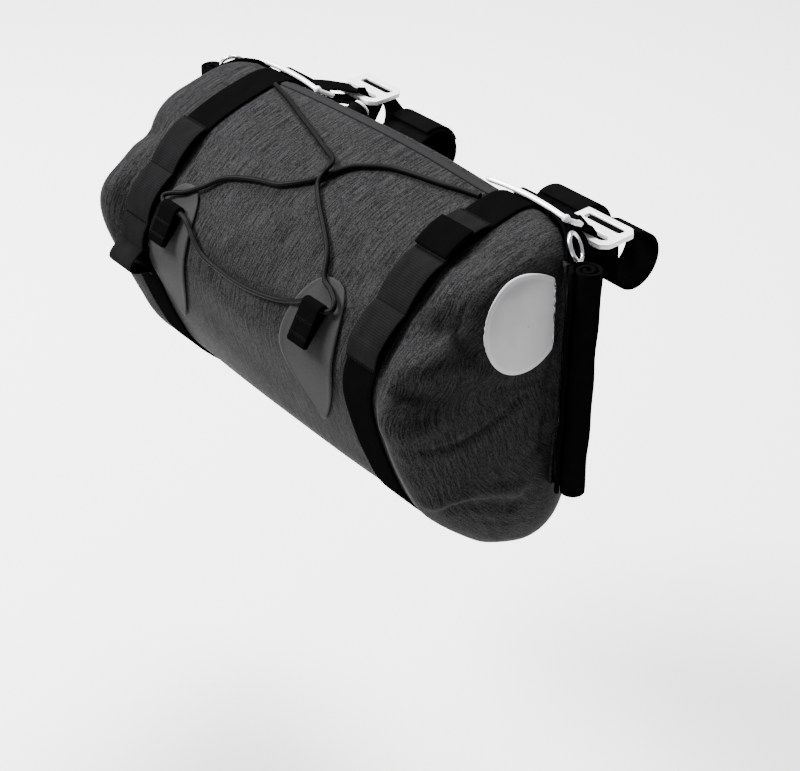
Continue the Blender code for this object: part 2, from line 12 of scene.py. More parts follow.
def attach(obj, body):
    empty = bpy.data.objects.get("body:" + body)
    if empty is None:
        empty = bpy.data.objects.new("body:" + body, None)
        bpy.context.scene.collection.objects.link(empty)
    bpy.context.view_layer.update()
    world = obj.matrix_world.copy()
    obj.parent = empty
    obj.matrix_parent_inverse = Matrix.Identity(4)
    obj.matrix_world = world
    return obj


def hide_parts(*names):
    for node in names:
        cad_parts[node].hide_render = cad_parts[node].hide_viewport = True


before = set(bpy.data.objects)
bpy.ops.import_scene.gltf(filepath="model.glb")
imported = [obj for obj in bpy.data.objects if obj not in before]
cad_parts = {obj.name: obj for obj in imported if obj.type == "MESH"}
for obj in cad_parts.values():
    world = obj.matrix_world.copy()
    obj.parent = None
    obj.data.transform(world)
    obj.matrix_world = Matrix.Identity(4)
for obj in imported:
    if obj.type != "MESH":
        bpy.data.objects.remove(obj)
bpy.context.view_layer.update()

# Camera, floor and light
# The bag hangs in the air as it does from its bar, seen from its front right and from above, over a
# plain pale floor. The main light is a large soft one at the upper left.
LENS = 71.145
CAMERA_AT = (0.66947, -0.61181, 0.45799)
CAMERA_BACK = (0.6292, -0.5299, 0.5686)
FLOOR_Z = -0.42
FLOOR_SIZE = 14.0
FLOOR_COLOR = (0.95, 0.95, 0.95, 1.0)
FLOOR_ROUGHNESS = 0.9
WORLD_COLOR = (1.0, 1.0, 1.0, 1.0)
WORLD_STRENGTH = 0.5

camera = bpy.data.objects.new("camera", bpy.data.cameras.new("camera"))
bpy.context.scene.collection.objects.link(camera)
camera.data.lens = LENS
camera.data.sensor_width = 36.0
camera.data.sensor_fit = "HORIZONTAL"
camera.location = CAMERA_AT
camera.rotation_mode = "QUATERNION"
camera.rotation_quaternion = (-Vector(CAMERA_BACK)).to_track_quat("-Z", "Y")
bpy.context.scene.camera = camera

floor_mesh = bpy.data.meshes.new("floor")
half = FLOOR_SIZE / 2
floor_mesh.from_pydata(
    [(-half, -half, FLOOR_Z), (half, -half, FLOOR_Z), (half, half, FLOOR_Z), (-half, half, FLOOR_Z)],
    [],
    [(0, 1, 2, 3)],
)
floor = bpy.data.objects.new("floor", floor_mesh)
bpy.context.scene.collection.objects.link(floor)
floor_finish = bpy.data.materials.new("floor")
floor_finish.use_nodes = True
floor_shader = floor_finish.node_tree.nodes["Principled BSDF"]
floor_shader.inputs["Base Color"].default_value = FLOOR_COLOR
floor_shader.inputs["Roughness"].default_value = FLOOR_ROUGHNESS
floor_mesh.materials.append(floor_finish)

world = bpy.data.worlds.new("studio")
world.use_nodes = True
backdrop = world.node_tree.nodes["Background"]
backdrop.inputs["Color"].default_value = WORLD_COLOR
backdrop.inputs["Strength"].default_value = WORLD_STRENGTH
bpy.context.scene.world = world

LIGHTS = (
    # name, place, size, watts
    ("key", (-1.30, -1.10, 1.40), 0.8, 190.0),
    ("top", (-0.70, 0.70, 1.90), 1.0, 170.0),
)
for name, place, size, watts in LIGHTS:
    lamp = bpy.data.lights.new(name, "AREA")
    lamp.size = size
    lamp.energy = watts
    light = bpy.data.objects.new(name, lamp)
    light.location = place
    light.rotation_mode = "QUATERNION"
    light.rotation_quaternion = (-Vector(place)).to_track_quat("-Z", "Y")
    bpy.context.scene.collection.objects.link(light)

# Fabric tube
# One piece of coated heather polyester, welded into a tube round the load, 1.5 mm thick with its
# backing. The straps hold it in; past them it curves over and pinches into a mouth at each end.
BAR_TO_BAG = 0.0300
TOP_ABOVE_BAR = 0.0420
BAG_DEPTH = 0.1410
BAG_HEIGHT = 0.2270
STRAP_SPACING = 0.2220
END_REACH = 0.0395
STRAP_BED = 0.0150
SWELL = 0.0030
FABRIC = 0.0015
GAP = 0.00035
WEB_WIDTH = 0.0250
WEB = 0.0016
END_PATCH_RADIUS = 0.0290
END_PATCH_PLACE = (0.475, 0.180)

# Soft lumps of the load, and how far the cloth eases in beside a strap, past it, and round the
# end patch, which stays flat
LUMP = 0.00035
BESIDE_STRAP = 0.016
PAST_STRAP = 0.020
ROUND_PATCH = 0.012

# Outline seen along the bar: share of the depth, from the back, and of the height
SECTION = (
    # depth  height
    (0.000, 0.498),
    (0.007, 0.696),
    (0.028, 0.828),
    (0.100, 0.947),
    (0.213, 1.000),
    (0.433, 0.978),
    (0.631, 0.934),
    (0.745, 0.881),
    (0.858, 0.815),
    (0.957, 0.740),
    (1.000, 0.652),
    (0.965, 0.537),
    (0.887, 0.392),
    (0.787, 0.269),
    (0.567, 0.128),
    (0.426, 0.057),
    (0.234, 0.004),
    (0.092, 0.035),
    (0.021, 0.167),
    (0.000, 0.344),
)

# From the strap out to the mouth and its pinched lips: reach of the back and front wall as a share
# of END_REACH, their place as a share of the depth, and the top and foot as a share of the height
END_RINGS = (
    # back x, back y, front x, front y, top, foot
    (0.000, 0.000, 0.000, 1.000, 1.000, 0.000),
    (0.177, 0.000, 0.177, 1.018, 1.003, -0.003),
    (0.304, 0.007, 0.380, 1.028, 1.004, 0.009),
    (0.532, 0.035, 0.608, 1.000, 0.998, 0.048),
    (0.684, 0.078, 0.785, 0.929, 0.987, 0.106),
    (0.785, 0.120, 0.886, 0.823, 0.974, 0.159),
    (0.848, 0.163, 0.949, 0.695, 0.965, 0.203),
    (0.886, 0.199, 0.987, 0.553, 0.956, 0.238),
    (0.906, 0.227, 1.000, 0.426, 0.949, 0.264),
    (0.911, 0.255, 0.987, 0.325, 0.943, 0.282),
    (0.950, 0.272, 0.995, 0.300, 0.941, 0.286),
    (1.020, 0.280, 1.030, 0.291, 0.940, 0.288),
)
MOUTH_RING = 9

# Creases, hollows and ridges pressed into the cloth. Each row is its height out of the wall and its
# half width, then the points it runs through
FOLDS = (
    # height, half width, points
    (-0.0015, 0.0015, (
        (0.1525, -0.1636, -0.0574), (0.1591, -0.1478, -0.0592), (0.1611, -0.1379, -0.0594),
        (0.1639, -0.1175, -0.0539), (0.1653, -0.0959, -0.0433),
    )),
    (0.0008, 0.0050, (
        (0.1462, -0.1690, -0.0630), (0.1591, -0.1478, -0.0650), (0.1627, -0.1276, -0.0640),
        (0.1650, -0.1050, -0.0530),
    )),
    (-0.0095, 0.0090, (
        (0.1480, -0.1720, -0.0235), (0.1535, -0.1640, -0.0270),
    )),
    (-0.0085, 0.0105, (
        (0.1450, -0.1443, 0.0120), (0.1540, -0.1390, 0.0105), (0.1610, -0.1300, 0.0020),
    )),
    (0.0022, 0.0085, (
        (0.1394, -0.1688, -0.0110), (0.1500, -0.1580, -0.0080), (0.1590, -0.1420, -0.0080),
        (0.1640, -0.1200, -0.0180),
    )),
    (0.0030, 0.0120, (
        (0.1382, -0.1749, -0.0420), (0.1480, -0.1720, -0.0450), (0.1560, -0.1620, -0.0400),
    )),
    (-0.0014, 0.0030, (
        (0.1646, -0.1141, -0.0316), (0.1652, -0.1025, -0.0337), (0.1654, -0.0895, -0.0374),
    )),
    (-0.0022, 0.0045, (
        (0.1540, -0.1390, -0.1096), (0.1572, -0.1282, -0.1111), (0.1588, -0.1139, -0.1175),
        (0.1602, -0.0963, -0.1266),
    )),
    (0.0024, 0.0060, (
        (0.1480, -0.1480, -0.1050), (0.1580, -0.1300, -0.1020), (0.1610, -0.1120, -0.1080),
        (0.1620, -0.0940, -0.1160),
    )),
    (-0.0020, 0.0035, (
        (0.1600, -0.0790, 0.0310), (0.1640, -0.0775, 0.0050), (0.1650, -0.0775, -0.0400),
        (0.1640, -0.0775, -0.0900),
    )),
    (0.0016, 0.0045, (
        (0.1560, -0.0870, 0.0310), (0.1630, -0.0850, 0.0120),
    )),
    (-0.0016, 0.0035, (
        (0.1432, -0.0844, 0.0398), (0.1530, -0.0800, 0.0370), (0.1590, -0.0770, 0.0300),
    )),
    (-0.0012, 0.0080, (
        (-0.0288, -0.1683, -0.0175), (-0.0080, -0.1730, -0.0290), (0.0250, -0.1745, -0.0330),
    )),
    (-0.0010, 0.0090, (
        (-0.0360, -0.1289, 0.0232), (-0.0200, -0.1420, 0.0120),
    )),
    (-0.0010, 0.0100, (
        (0.0203, -0.1404, 0.0138), (0.0300, -0.1560, -0.0020), (0.0420, -0.1660, -0.0150),
    )),
    (-0.0012, 0.0070, (
        (0.0649, -0.1392, 0.0132), (0.0721, -0.1487, 0.0039),
    )),
    (-0.0060, 0.0110, (
        (-0.1480, -0.1380, 0.0180), (-0.1560, -0.1280, 0.0120),
    )),
    (0.0040, 0.0150, (
        (-0.1450, -0.1720, -0.0120), (-0.1530, -0.1600, -0.0300),
    )),
    (-0.0020, 0.0050, (
        (-0.1540, -0.1420, -0.0550), (-0.1630, -0.1250, -0.0560), (-0.1650, -0.1000, -0.0450),
    )),
    (-0.0020, 0.0040, (
        (-0.1600, -0.0790, 0.0310), (-0.1645, -0.0775, -0.0100), (-0.1640, -0.0775, -0.0900),
    )),
    (-0.0022, 0.0050, (
        (-0.1540, -0.1390, -0.1096), (-0.1588, -0.1139, -0.1175), (-0.1602, -0.0963, -0.1266),
    )),
    (-0.0014, 0.0040, (
        (0.1480, -0.0420, -0.0200), (0.1560, -0.0470, -0.0500), (0.1590, -0.0560, -0.0900),
    )),
    (-0.0014, 0.0040, (
        (-0.1480, -0.0420, -0.0300), (-0.1560, -0.0470, -0.0700), (-0.1590, -0.0560, -0.1000),
    )),
    (-0.0016, 0.0060, (
        (0.0800, -0.1000, -0.1550), (0.0200, -0.1020, -0.1570), (-0.0600, -0.0980, -0.1560),
    )),
)


def spline(rows, places, closed=False):
    """Catmull-Rom curve through the rows, read at places counted in rows."""
    rows = np.asarray(rows, float)
    places = np.atleast_1d(np.asarray(places, float))
    base = np.floor(places).astype(int)
    part = (places - base)[:, None]

    def row(index):
        if closed:
            return rows[index % len(rows)]
        return rows[np.clip(index, 0, len(rows) - 1)]

    a, b, c, d = row(base - 1), row(base), row(base + 1), row(base + 2)
    return 0.5 * (
        2 * b
        + (c - a) * part
        + (2 * a - 5 * b + 4 * c - d) * part**2
        + (3 * b - a - 3 * c + d) * part**3
    )


def run_along(path):
    """Length from the start of a path to each of its points."""
    return np.concatenate([[0.0], np.cumsum(np.linalg.norm(np.diff(path, axis=0), axis=1))])


def full_turn(count):
    """Angles at an even step, once round."""
    return 2 * math.pi * np.arange(count) / count


SHARES = spline(SECTION, np.linspace(0, len(SECTION), 2001), closed=True)
LENGTHS = run_along(SHARES * [BAG_DEPTH, BAG_HEIGHT])
GIRTH = LENGTHS[-1]
LENGTHS = LENGTHS / GIRTH
PATCH_Y = -BAR_TO_BAG - END_PATCH_PLACE[0] * BAG_DEPTH
PATCH_Z = TOP_ABOVE_BAR - END_PATCH_PLACE[1] * BAG_HEIGHT


def section(girth):
    girth = np.asarray(girth) % 1.0
    return np.interp(girth, LENGTHS, SHARES[:, 0]), np.interp(girth, LENGTHS, SHARES[:, 1])


def middle_wall(x, girth):
    """Points of the smooth outside between the straps' outer beds."""
    depth, height = section(girth)
    flat = STRAP_SPACING / 2 - STRAP_BED
    share = np.clip((flat - abs(x)) / flat, 0.0, 1.0)
    swell = SWELL * math.sin(math.pi / 2 * share)
    y = -BAR_TO_BAG - depth * BAG_DEPTH
    z = TOP_ABOVE_BAR - BAG_HEIGHT + height * BAG_HEIGHT
    mid_y = -BAR_TO_BAG - BAG_DEPTH / 2
    mid_z = TOP_ABOVE_BAR - BAG_HEIGHT / 2
    y = np.where(y < mid_y, mid_y + (y - mid_y) * (1 + 2 * swell / BAG_DEPTH), y)
    z = mid_z + (z - mid_z) * (1 + 2 * swell / BAG_HEIGHT)
    return np.stack([np.full_like(y, x), y, z], axis=-1)


def end_wall(side, place, girth):
    """Points of the smooth outside past a strap, at a place counted in END_RINGS rows."""
    depth, height = section(girth)
    back_x, back_y, front_x, front_y, top, foot = spline(END_RINGS, place)[0]
    x = STRAP_SPACING / 2 + STRAP_BED + END_REACH * (back_x + (front_x - back_x) * depth)
    y = -BAR_TO_BAG - BAG_DEPTH * (back_y + (front_y - back_y) * depth)
    z = TOP_ABOVE_BAR + BAG_HEIGHT * (foot + (top - foot) * height - 1.0)
    return np.stack([side * x, y, z], axis=-1)


def fold_height(points):
    """How far the folds and the load inside push the cloth out at these points."""
    points = np.asarray(points, float)
    pushed = np.zeros(points.shape[:-1])
    for height, width, run in FOLDS:
        run = np.array(run)
        nearest = np.full(points.shape[:-1], np.inf)
        for start, stop in zip(run[:-1], run[1:]):
            way = stop - start
            share = np.clip(((points - start) @ way) / (way @ way), 0.0, 1.0)
            gap = np.linalg.norm(points - (start + share[..., None] * way), axis=-1)
            nearest = np.minimum(nearest, gap)
        pushed += height * np.exp(-((nearest / width) ** 2))
    x, y, z = points[..., 0], points[..., 1], points[..., 2]
    lumps = (
        np.sin(41 * x + 23 * y - 3 * z + 0.6)
        + np.sin(-17 * x + 47 * y + 31 * z + 2.1)
        + np.sin(29 * x - 19 * y + 53 * z + 4.0)
    )
    strap_gap = np.abs(np.abs(x) - STRAP_SPACING / 2) - WEB_WIDTH / 2
    free = np.clip(strap_gap / BESIDE_STRAP, 0.0, 1.0)
    free = free * free * (3 - 2 * free)
    past = np.clip((np.abs(x) - STRAP_SPACING / 2) / PAST_STRAP, 0.0, 1.0)
    patch_gap = np.hypot(y - PATCH_Y, z - PATCH_Z) - END_PATCH_RADIUS
    off_patch = 1 - past * (1 - np.clip(patch_gap / ROUND_PATCH, 0.0, 1.0))
    return free * off_patch * (pushed + LUMP * (1 + past) * lumps)


def wall_normals(grid):
    along = np.gradient(grid, axis=0)
    around = np.roll(grid, -1, axis=1) - np.roll(grid, 1, axis=1)
    normals = np.cross(around, along)
    return normals / np.maximum(np.linalg.norm(normals, axis=-1, keepdims=True), 1e-12)


def lay_lengths(grid, wrap):
    """How far down a sheet each point lies, in metres from the first row."""
    down = np.linalg.norm(np.diff(grid, axis=0), axis=-1)
    down = np.concatenate([np.zeros((1, grid.shape[1])), np.cumsum(down, axis=0)])
    if wrap:
        down = np.concatenate([down, down[:, :1]], axis=1)
    return down


def sheet_mesh(name, grid, lay, wrap=False, flip=False):
    """A sheet on a grid of points, with its flat place in metres as the map named lay."""
    rows, columns = grid.shape[:2]
    last = columns if wrap else columns - 1
    i, j = np.meshgrid(np.arange(rows - 1), np.arange(last), indexing="ij")
    i, j = i.ravel(), j.ravel()
    k = (j + 1) % columns
    first, second = i * columns, (i + 1) * columns
    faces = np.stack([first + j, first + k, second + k, second + j], axis=1)
    places = np.stack([lay[i, j], lay[i, j + 1], lay[i + 1, j + 1], lay[i + 1, j]], axis=1)
    if flip:
        faces, places = faces[:, ::-1], places[:, ::-1]
    mesh = bpy.data.meshes.new(name)
    mesh.from_pydata(grid.reshape(-1, 3).tolist(), [], faces.tolist())
    mesh.uv_layers.new(name="lay").data.foreach_set("uv", places.reshape(-1).astype(np.float32))
    mesh.shade_smooth()
    mesh.update()
    return mesh


def settle(mesh, finish, slot_name, *nodes):
    """Put a mesh in the scene, on the bag's one body, in place of the nodes it dresses."""
    piece = bpy.data.objects.new(mesh.name, mesh)
    bpy.context.scene.collection.objects.link(piece)
    mesh.materials.append(finish)
    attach(piece, "root")
    if nodes:
        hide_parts(*nodes)
    return piece


def thicken(piece, thickness, offset=-1.0):
    """Make a sheet as thick as its cloth, inwards from its points or to both sides of them."""
    wall = piece.modifiers.new("thickness", "SOLIDIFY")
    wall.thickness = thickness
    wall.offset = offset


class Shade:
    """A number or colour inside a material; arithmetic on it adds the nodes that work it out."""

    def __init__(self, tree, socket=None):
        self.tree = tree
        self.socket = socket

    def node(self, kind, settings, sockets, output=0):
        made = self.tree.nodes.new(kind)
        for name, value in settings.items():
            setattr(made, name, value)
        for name, value in sockets.items():
            if isinstance(value, Shade):
                self.tree.links.new(value.socket, made.inputs[name])
            else:
                made.inputs[name].default_value = value
        return Shade(self.tree, made.outputs[output])

    def math(self, operation, *values):
        return self.node("ShaderNodeMath", {"operation": operation}, dict(enumerate(values)))

    def __add__(self, other):
        return self.math("ADD", self, other)

    def __sub__(self, other):
        return self.math("SUBTRACT", self, other)

    def __rsub__(self, other):
        return self.math("SUBTRACT", other, self)

    def __mul__(self, other):
        return self.math("MULTIPLY", self, other)

    __radd__ = __add__
    __rmul__ = __mul__

    def band(self, low, high):
        """0 below low, 1 above high, smooth between."""
        return self.node(
            "ShaderNodeMapRange",
            {"interpolation_type": "SMOOTHSTEP"},
            {"Value": self, "From Min": low, "From Max": high},
        )

    def mix(self, dark, light):
        """From one colour to the other as this number goes from 0 to 1."""
        return self.node("ShaderNodeMix", {"data_type": "RGBA"}, {0: self, 6: dark, 7: light}, output=2)

    def noise(self, x, y, z=0.0, detail=2.0):
        """Noise at a place given by three numbers in steps of the noise."""
        place = self.node("ShaderNodeCombineXYZ", {}, {"X": x, "Y": y, "Z": z})
        return self.node("ShaderNodeTexNoise", {}, {"Vector": place, "Scale": 1.0, "Detail": detail})

    def speckle(self, scale, detail):
        """Noise at the place on the piece, whatever its flat map."""
        place = self.node("ShaderNodeTexCoord", {}, {}, output=3)
        return self.node("ShaderNodeTexNoise", {}, {"Vector": place, "Scale": scale, "Detail": detail})

    def lay(self):
        """The flat place on the cloth, in metres: along, across."""
        flat = self.node("ShaderNodeUVMap", {"uv_map": "lay"}, {})
        split = self.node("ShaderNodeSeparateXYZ", {}, {"Vector": flat})
        return split, Shade(self.tree, split.socket.node.outputs["Y"])


def grey(value):
    return (value, value, value * 1.03, 1.0)


def finish_of(name, paint):
    """A material whose node tree is drawn by paint, which returns what feeds the shader."""
    made = bpy.data.materials.new(name)
    made.use_nodes = True
    shader = made.node_tree.nodes["Principled BSDF"]
    start = Shade(made.node_tree)
    varied, fixed, (height, distance) = paint(start)
    for socket, value in fixed.items():
        shader.inputs[socket].default_value = value
    for socket, value in varied.items():
        made.node_tree.links.new(value.socket, shader.inputs[socket])
    relief = start.node("ShaderNodeBump", {}, {"Height": height, "Distance": distance})
    made.node_tree.links.new(relief.socket, shader.inputs["Normal"])
    return made


def cloth_paint(start):
    """Fine pale and dark yarns that run round the bag, under a thin coat, with painted shade darkening
    both ends.
    """
    along, around = start.lay()
    long_yarn = start.noise(along * 1100, around * 48, 3.0)
    short_yarn = start.noise(along * 1500, around * 300, 8.0)
    grain = start.noise(along * 1300, around * 1300, 1.0, 1.0)
    cloud = start.noise(along * 16, around * 16, 5.0)
    yarn = (long_yarn * 0.34 + short_yarn * 0.30 + grain * 0.36).band(0.40, 0.62)
    # Painted shade: the colour is darkened towards both ends of the bag, standing in for the shade the
    # ends fall in.
    shade = 1.0 - along.math("ABSOLUTE").band(0.125, 0.175) * 0.45
    tone = yarn * (0.80 + cloud * 0.20) * shade
    varied = {"Base Color": tone.mix(grey(0.0022), grey(0.044)), "Roughness": 0.80 - 0.2 * cloud}
    return varied, {"Specular IOR Level": 0.02}, (yarn * 0.4 + grain * 0.6, 0.00006)


CLOTH = finish_of("heather_cloth", cloth_paint)
ROWS_MIDDLE = 96
ROWS_END = 54
COLUMNS = 236

girth = np.arange(COLUMNS) / COLUMNS
end_places = np.linspace(0, len(END_RINGS) - 1, ROWS_END)
flat_half = STRAP_SPACING / 2 + STRAP_BED
middle_x = np.linspace(-flat_half, flat_half, ROWS_MIDDLE + 2)[1:-1]
rings = [end_wall(-1, place, girth) for place in end_places[::-1]]
rings += [middle_wall(x, girth) for x in middle_x]
rings += [end_wall(1, place, girth) for place in end_places]
tube = np.array(rings)
tube = tube + wall_normals(tube) * fold_height(tube)[..., None]
down = lay_lengths(tube, True)
down = down - down[len(down) // 2]
around = np.broadcast_to(np.arange(COLUMNS + 1) / COLUMNS * GIRTH, down.shape)
mesh = sheet_mesh("bag_body", tube, np.stack([down, around], axis=-1), wrap=True)
bag = settle(mesh, CLOTH, "bag_cloth", "bag_shell")
thicken(bag, FABRIC)


def on_wall(x, girth, lift=0.0):
    """Point on the folded cloth between the straps' beds, its normal, and the way round the bag."""
    step = 1e-4
    ring = middle_wall(x, [girth - step, girth, girth + step])
    along = middle_wall(x + step, [girth])[0] - middle_wall(x - step, [girth])[0]
    tangent = Vector(ring[2] - ring[0]).normalized()
    normal = tangent.cross(Vector(along)).normalized()
    return Vector(ring[1]) + normal * (lift + float(fold_height(ring[1]))), normal, tangent


# Webbing straps
# Two 25 mm polyester webbings go right round the bag and are sewn to it; they carry everything else.
# Plain weave, matt black, with softly rounded woven edges.
STRIP_POINTS = 8


def woven(name, dark, light, rib, relief):
    """Webbing: ribs across it at a pitch, paler on their crowns, with fluff and wear."""

    def paint(start):
        along, across = start.lay()
        wave = (along * (2 * math.pi / rib)).math("SINE") * 0.5 + 0.5
        fluff = start.noise(along * 2600, across * 900, 2.0)
        wear = start.noise(along * 60, across * 120, 6.0)
        crown = wave.band(0.60, 1.0) * (0.55 + 0.45 * fluff)
        tone = crown * (0.55 + 0.75 * wear)
        varied = {"Base Color": tone.mix(grey(dark), grey(light)), "Roughness": 0.90 - 0.2 * crown}
        fixed = {"Specular IOR Level": 0.0}
        return varied, fixed, (crown * 0.8 + fluff * 0.2, relief)

    return finish_of(name, paint)


def strip_section(width, thickness):
    """Outline of webbing cut across: flat faces and round woven edges."""
    radius = thickness / 2
    flat = width / 2 - radius
    half = [(a, radius) for a in np.linspace(-flat, flat, STRIP_POINTS)]
    for a in (math.pi / 4, 0, -math.pi / 4):
        half.append((flat + radius * math.cos(a), radius * math.sin(a)))
    return np.concatenate([half, -np.array(half)])


def resampled(path, step, closed):
    """The same path with points at an even step."""
    path = np.asarray(path, float)
    if closed:
        path = np.vstack([path, path[:1]])
    lengths = run_along(path)
    count = max(3, round(lengths[-1] / step))
    places = np.linspace(0, lengths[-1], count, endpoint=not closed)
    return np.stack([np.interp(places, lengths, path[:, k]) for k in range(3)], axis=1)


def strip_mesh(name, path, sideways, outline, closed=False, shape=None):
    """Webbing, a rail or a cord drawn along a path; shape may move its points."""
    path = np.asarray(path, float)
    if closed:
        ahead = np.roll(path, -1, axis=0) - np.roll(path, 1, axis=0)
    else:
        ahead = np.gradient(path, axis=0)
    ahead /= np.linalg.norm(ahead, axis=1, keepdims=True)
    side = np.broadcast_to(np.asarray(sideways, float), path.shape)
    side = side - ahead * np.sum(side * ahead, axis=1, keepdims=True)
    side /= np.linalg.norm(side, axis=1, keepdims=True)
    out = np.cross(ahead, side)
    wide, thick = outline[None, :, :1], outline[None, :, 1:]
    grid = path[:, None] + side[:, None] * wide + out[:, None] * thick
    if shape is not None:
        grid = shape(grid, path, side, out)
    if closed:
        grid = np.concatenate([grid, grid[:1]])
        path = np.vstack([path, path[:1]])
    across = run_along(np.vstack([outline, outline[:1]]))
    lay = np.stack(np.broadcast_arrays(run_along(path)[:, None], across[None, :]), axis=-1)
    mesh = sheet_mesh(name, grid, lay, wrap=True)
    close_strip(mesh, len(outline), len(grid), closed)
    return mesh


def close_strip(mesh, around, rows, closed):
    """Weld a closed strip's first and last turn, or cap an open strip's two ends."""
    body = bmesh.new()
    body.from_mesh(mesh)
    body.verts.ensure_lookup_table()
    if closed:
        pairs = {body.verts[(rows - 1) * around + k]: body.verts[k] for k in range(around)}
        bmesh.ops.weld_verts(body, targetmap=pairs)
    else:
        for first in (0, (rows - 1) * around):
            cap = body.faces.new([body.verts[first + k] for k in range(around)])
            cap.smooth = False
    bmesh.ops.recalc_face_normals(body, faces=body.faces)
    body.to_mesh(mesh)
    body.free()


WEBBING = woven("webbing", 0.0006, 0.0060, 0.0011, 0.00010)
STRAP_STEP = 0.0025
SIDES = (("right", 1), ("left", -1))

for label, side in SIDES:
    x = side * STRAP_SPACING / 2
    turns = np.linspace(0, 1, round(GIRTH / STRAP_STEP), endpoint=False)
    path = [on_wall(x, girth, GAP + WEB / 2)[0] for girth in turns]
    outline = strip_section(WEB_WIDTH, WEB)
    mesh = strip_mesh(f"strap_webbing_{label}", path, (1, 0, 0), outline, closed=True)
    settle(mesh, WEBBING, "webbing", f"strap_{label}")

# Ribbed attachment webbing
# Heavier ribbed webbing lies on the front of each strap, tacked down at bar tacks so that it stands
# off in loops between them. The left one ends in a folded lip that sticks out below its last tack.
DAISY_START = {"right": 0.2560, "left": 0.3180}
DAISY_LENGTH = 0.1020
DAISY_RISE = 0.0028
DAISY_LIP = 0.0140
DAISY_LOOPS = 3
LIP_SHARE = 0.20
RIB = 0.0015
RIB_HEIGHT = 0.00028
RIB_POINTS = 6
RIBBED_LIFT = 2 * GAP + 1.5 * WEB
RIBBED = woven("ribbed_webbing", 0.0002, 0.030, RIB, 0.00020)


def daisy_lift(share, lip):
    """How far the webbing stands off the strap, from its start to its end."""
    rise = DAISY_RISE * abs(math.sin(DAISY_LOOPS * math.pi * share)) ** 0.7
    if share > 1 - LIP_SHARE:
        rise = max(rise, lip * math.sin(math.pi * (1 - share) / LIP_SHARE) ** 1.5)
    return rise


for label, side in SIDES:
    x = side * STRAP_SPACING / 2
    lip = DAISY_LIP if label == "left" else DAISY_RISE
    path = []
    for share in np.linspace(0, 1, round(DAISY_LENGTH / RIB * RIB_POINTS)):
        girth = DAISY_START[label] + share * DAISY_LENGTH / GIRTH
        path.append(on_wall(x, girth, RIBBED_LIFT + daisy_lift(share, lip))[0])

    def ribs(grid, path, _, out):
        """Raise a rib on both faces at every pitch."""
        wave = RIB_HEIGHT * (0.5 + 0.5 * np.sin(2 * math.pi * run_along(path) / RIB)) - RIB_HEIGHT
        middle = grid - path[:, None]
        height = np.sum(middle * out[:, None], axis=-1)
        return grid + out[:, None] * (np.sign(height) * wave[:, None])[..., None]

    mesh = strip_mesh(f"ribbed_{label}", path, (1, 0, 0), strip_section(WEB_WIDTH, WEB), shape=ribs)
    settle(mesh, RIBBED, "ribbed_webbing", f"daisy_{label}")

# Bar tacks
# Rows of short thick stitches sew each ribbed webbing down at its start, at its end and between its
# loops.
STITCH_LENGTH = 0.0022
STITCH_RADIUS = 0.00032
STITCH_SIDES = 5
STITCH_ENDS = (-0.46, 0.46)
STITCHES = 19


def threads(name, stitches, finish, slot_name):
    """Short stitches as one mesh; each is a middle point, the way it runs and the way out."""
    shares = (-1.0, -0.7, 0.0, 0.7, 1.0)
    points, faces = [], []
    for middle, way, out in stitches:
        middle, way, out = np.array(middle), np.array(way), np.array(out)
        across = np.cross(way, out)
        first = len(points)
        for share in shares:
            fat = STITCH_RADIUS * math.sqrt(max(0.05, 1 - share**4))
            point = middle + way * share * STITCH_LENGTH / 2
            point += out * STITCH_RADIUS * (0.9 - share * share)
            for turn in full_turn(STITCH_SIDES):
                points.append(tuple(point + fat * (across * math.cos(turn) + out * math.sin(turn))))
        for i in range(len(shares) - 1):
            for k in range(STITCH_SIDES):
                a = first + i * STITCH_SIDES + k
                b = first + i * STITCH_SIDES + (k + 1) % STITCH_SIDES
                faces.append((a, b, b + STITCH_SIDES, a + STITCH_SIDES))
    mesh = bpy.data.meshes.new(name)
    mesh.from_pydata(points, [], faces)
    mesh.shade_smooth()
    return settle(mesh, finish, slot_name)


def plain(name, color, low, high, scale, relief, fixed):
    """A finish without a flat map: mottled colour, roughness from low to high and a fine grain."""

    def paint(start):
        grain, mottle = start.speckle(scale, 4.0), start.speckle(scale / 12, 2.0)
        tone = grain * 0.5 + mottle * 0.5
        paler = tuple(1.25 * part for part in color)
        darker = tuple(0.80 * part for part in color)
        varied = {
            "Base Color": tone.mix((*darker, 1.0), (*paler, 1.0)),
            "Roughness": low + (high - low) * mottle,
        }
        return varied, fixed, (grain, relief)

    return finish_of(name, paint)


THREAD = plain(
    "thread", (0.0025, 0.0025, 0.0026), 0.55, 0.75, 4000.0, 0.0001, {"Specular IOR Level": 0.05}
)
tacks = []
for label, side in SIDES:
    for loop in range(DAISY_LOOPS + 1):
        girth = DAISY_START[label] + DAISY_LENGTH / GIRTH * loop / DAISY_LOOPS
        for across in np.linspace(*STITCH_ENDS, STITCHES):
            x = side * STRAP_SPACING / 2 + across * WEB_WIDTH
            point, normal, tangent = on_wall(x, girth, 2 * GAP + 2 * WEB)
            tacks.append((point, tangent, normal))
threads("daisy_tacks", tacks, THREAD, "webbing")

# Plain cover on the right strap
# A short piece of plain webbing is sewn over the top of the right ribbed webbing, from edge to edge.
COVER_START = 0.2760
COVER_LENGTH = 0.0210
COVER_MORE = 0.0010
COVER_POINTS = 14
path = []
for share in np.linspace(0, 1, COVER_POINTS):
    girth = COVER_START + share * COVER_LENGTH / GIRTH
    under = daisy_lift((girth - DAISY_START["right"]) * GIRTH / DAISY_LENGTH, 0.0)
    path.append(on_wall(STRAP_SPACING / 2, girth, RIBBED_LIFT + 1.1 * WEB + under)[0])
mesh = strip_mesh("daisy_cover", path, (1, 0, 0), strip_section(WEB_WIDTH + COVER_MORE, WEB))
settle(mesh, WEBBING, "webbing")

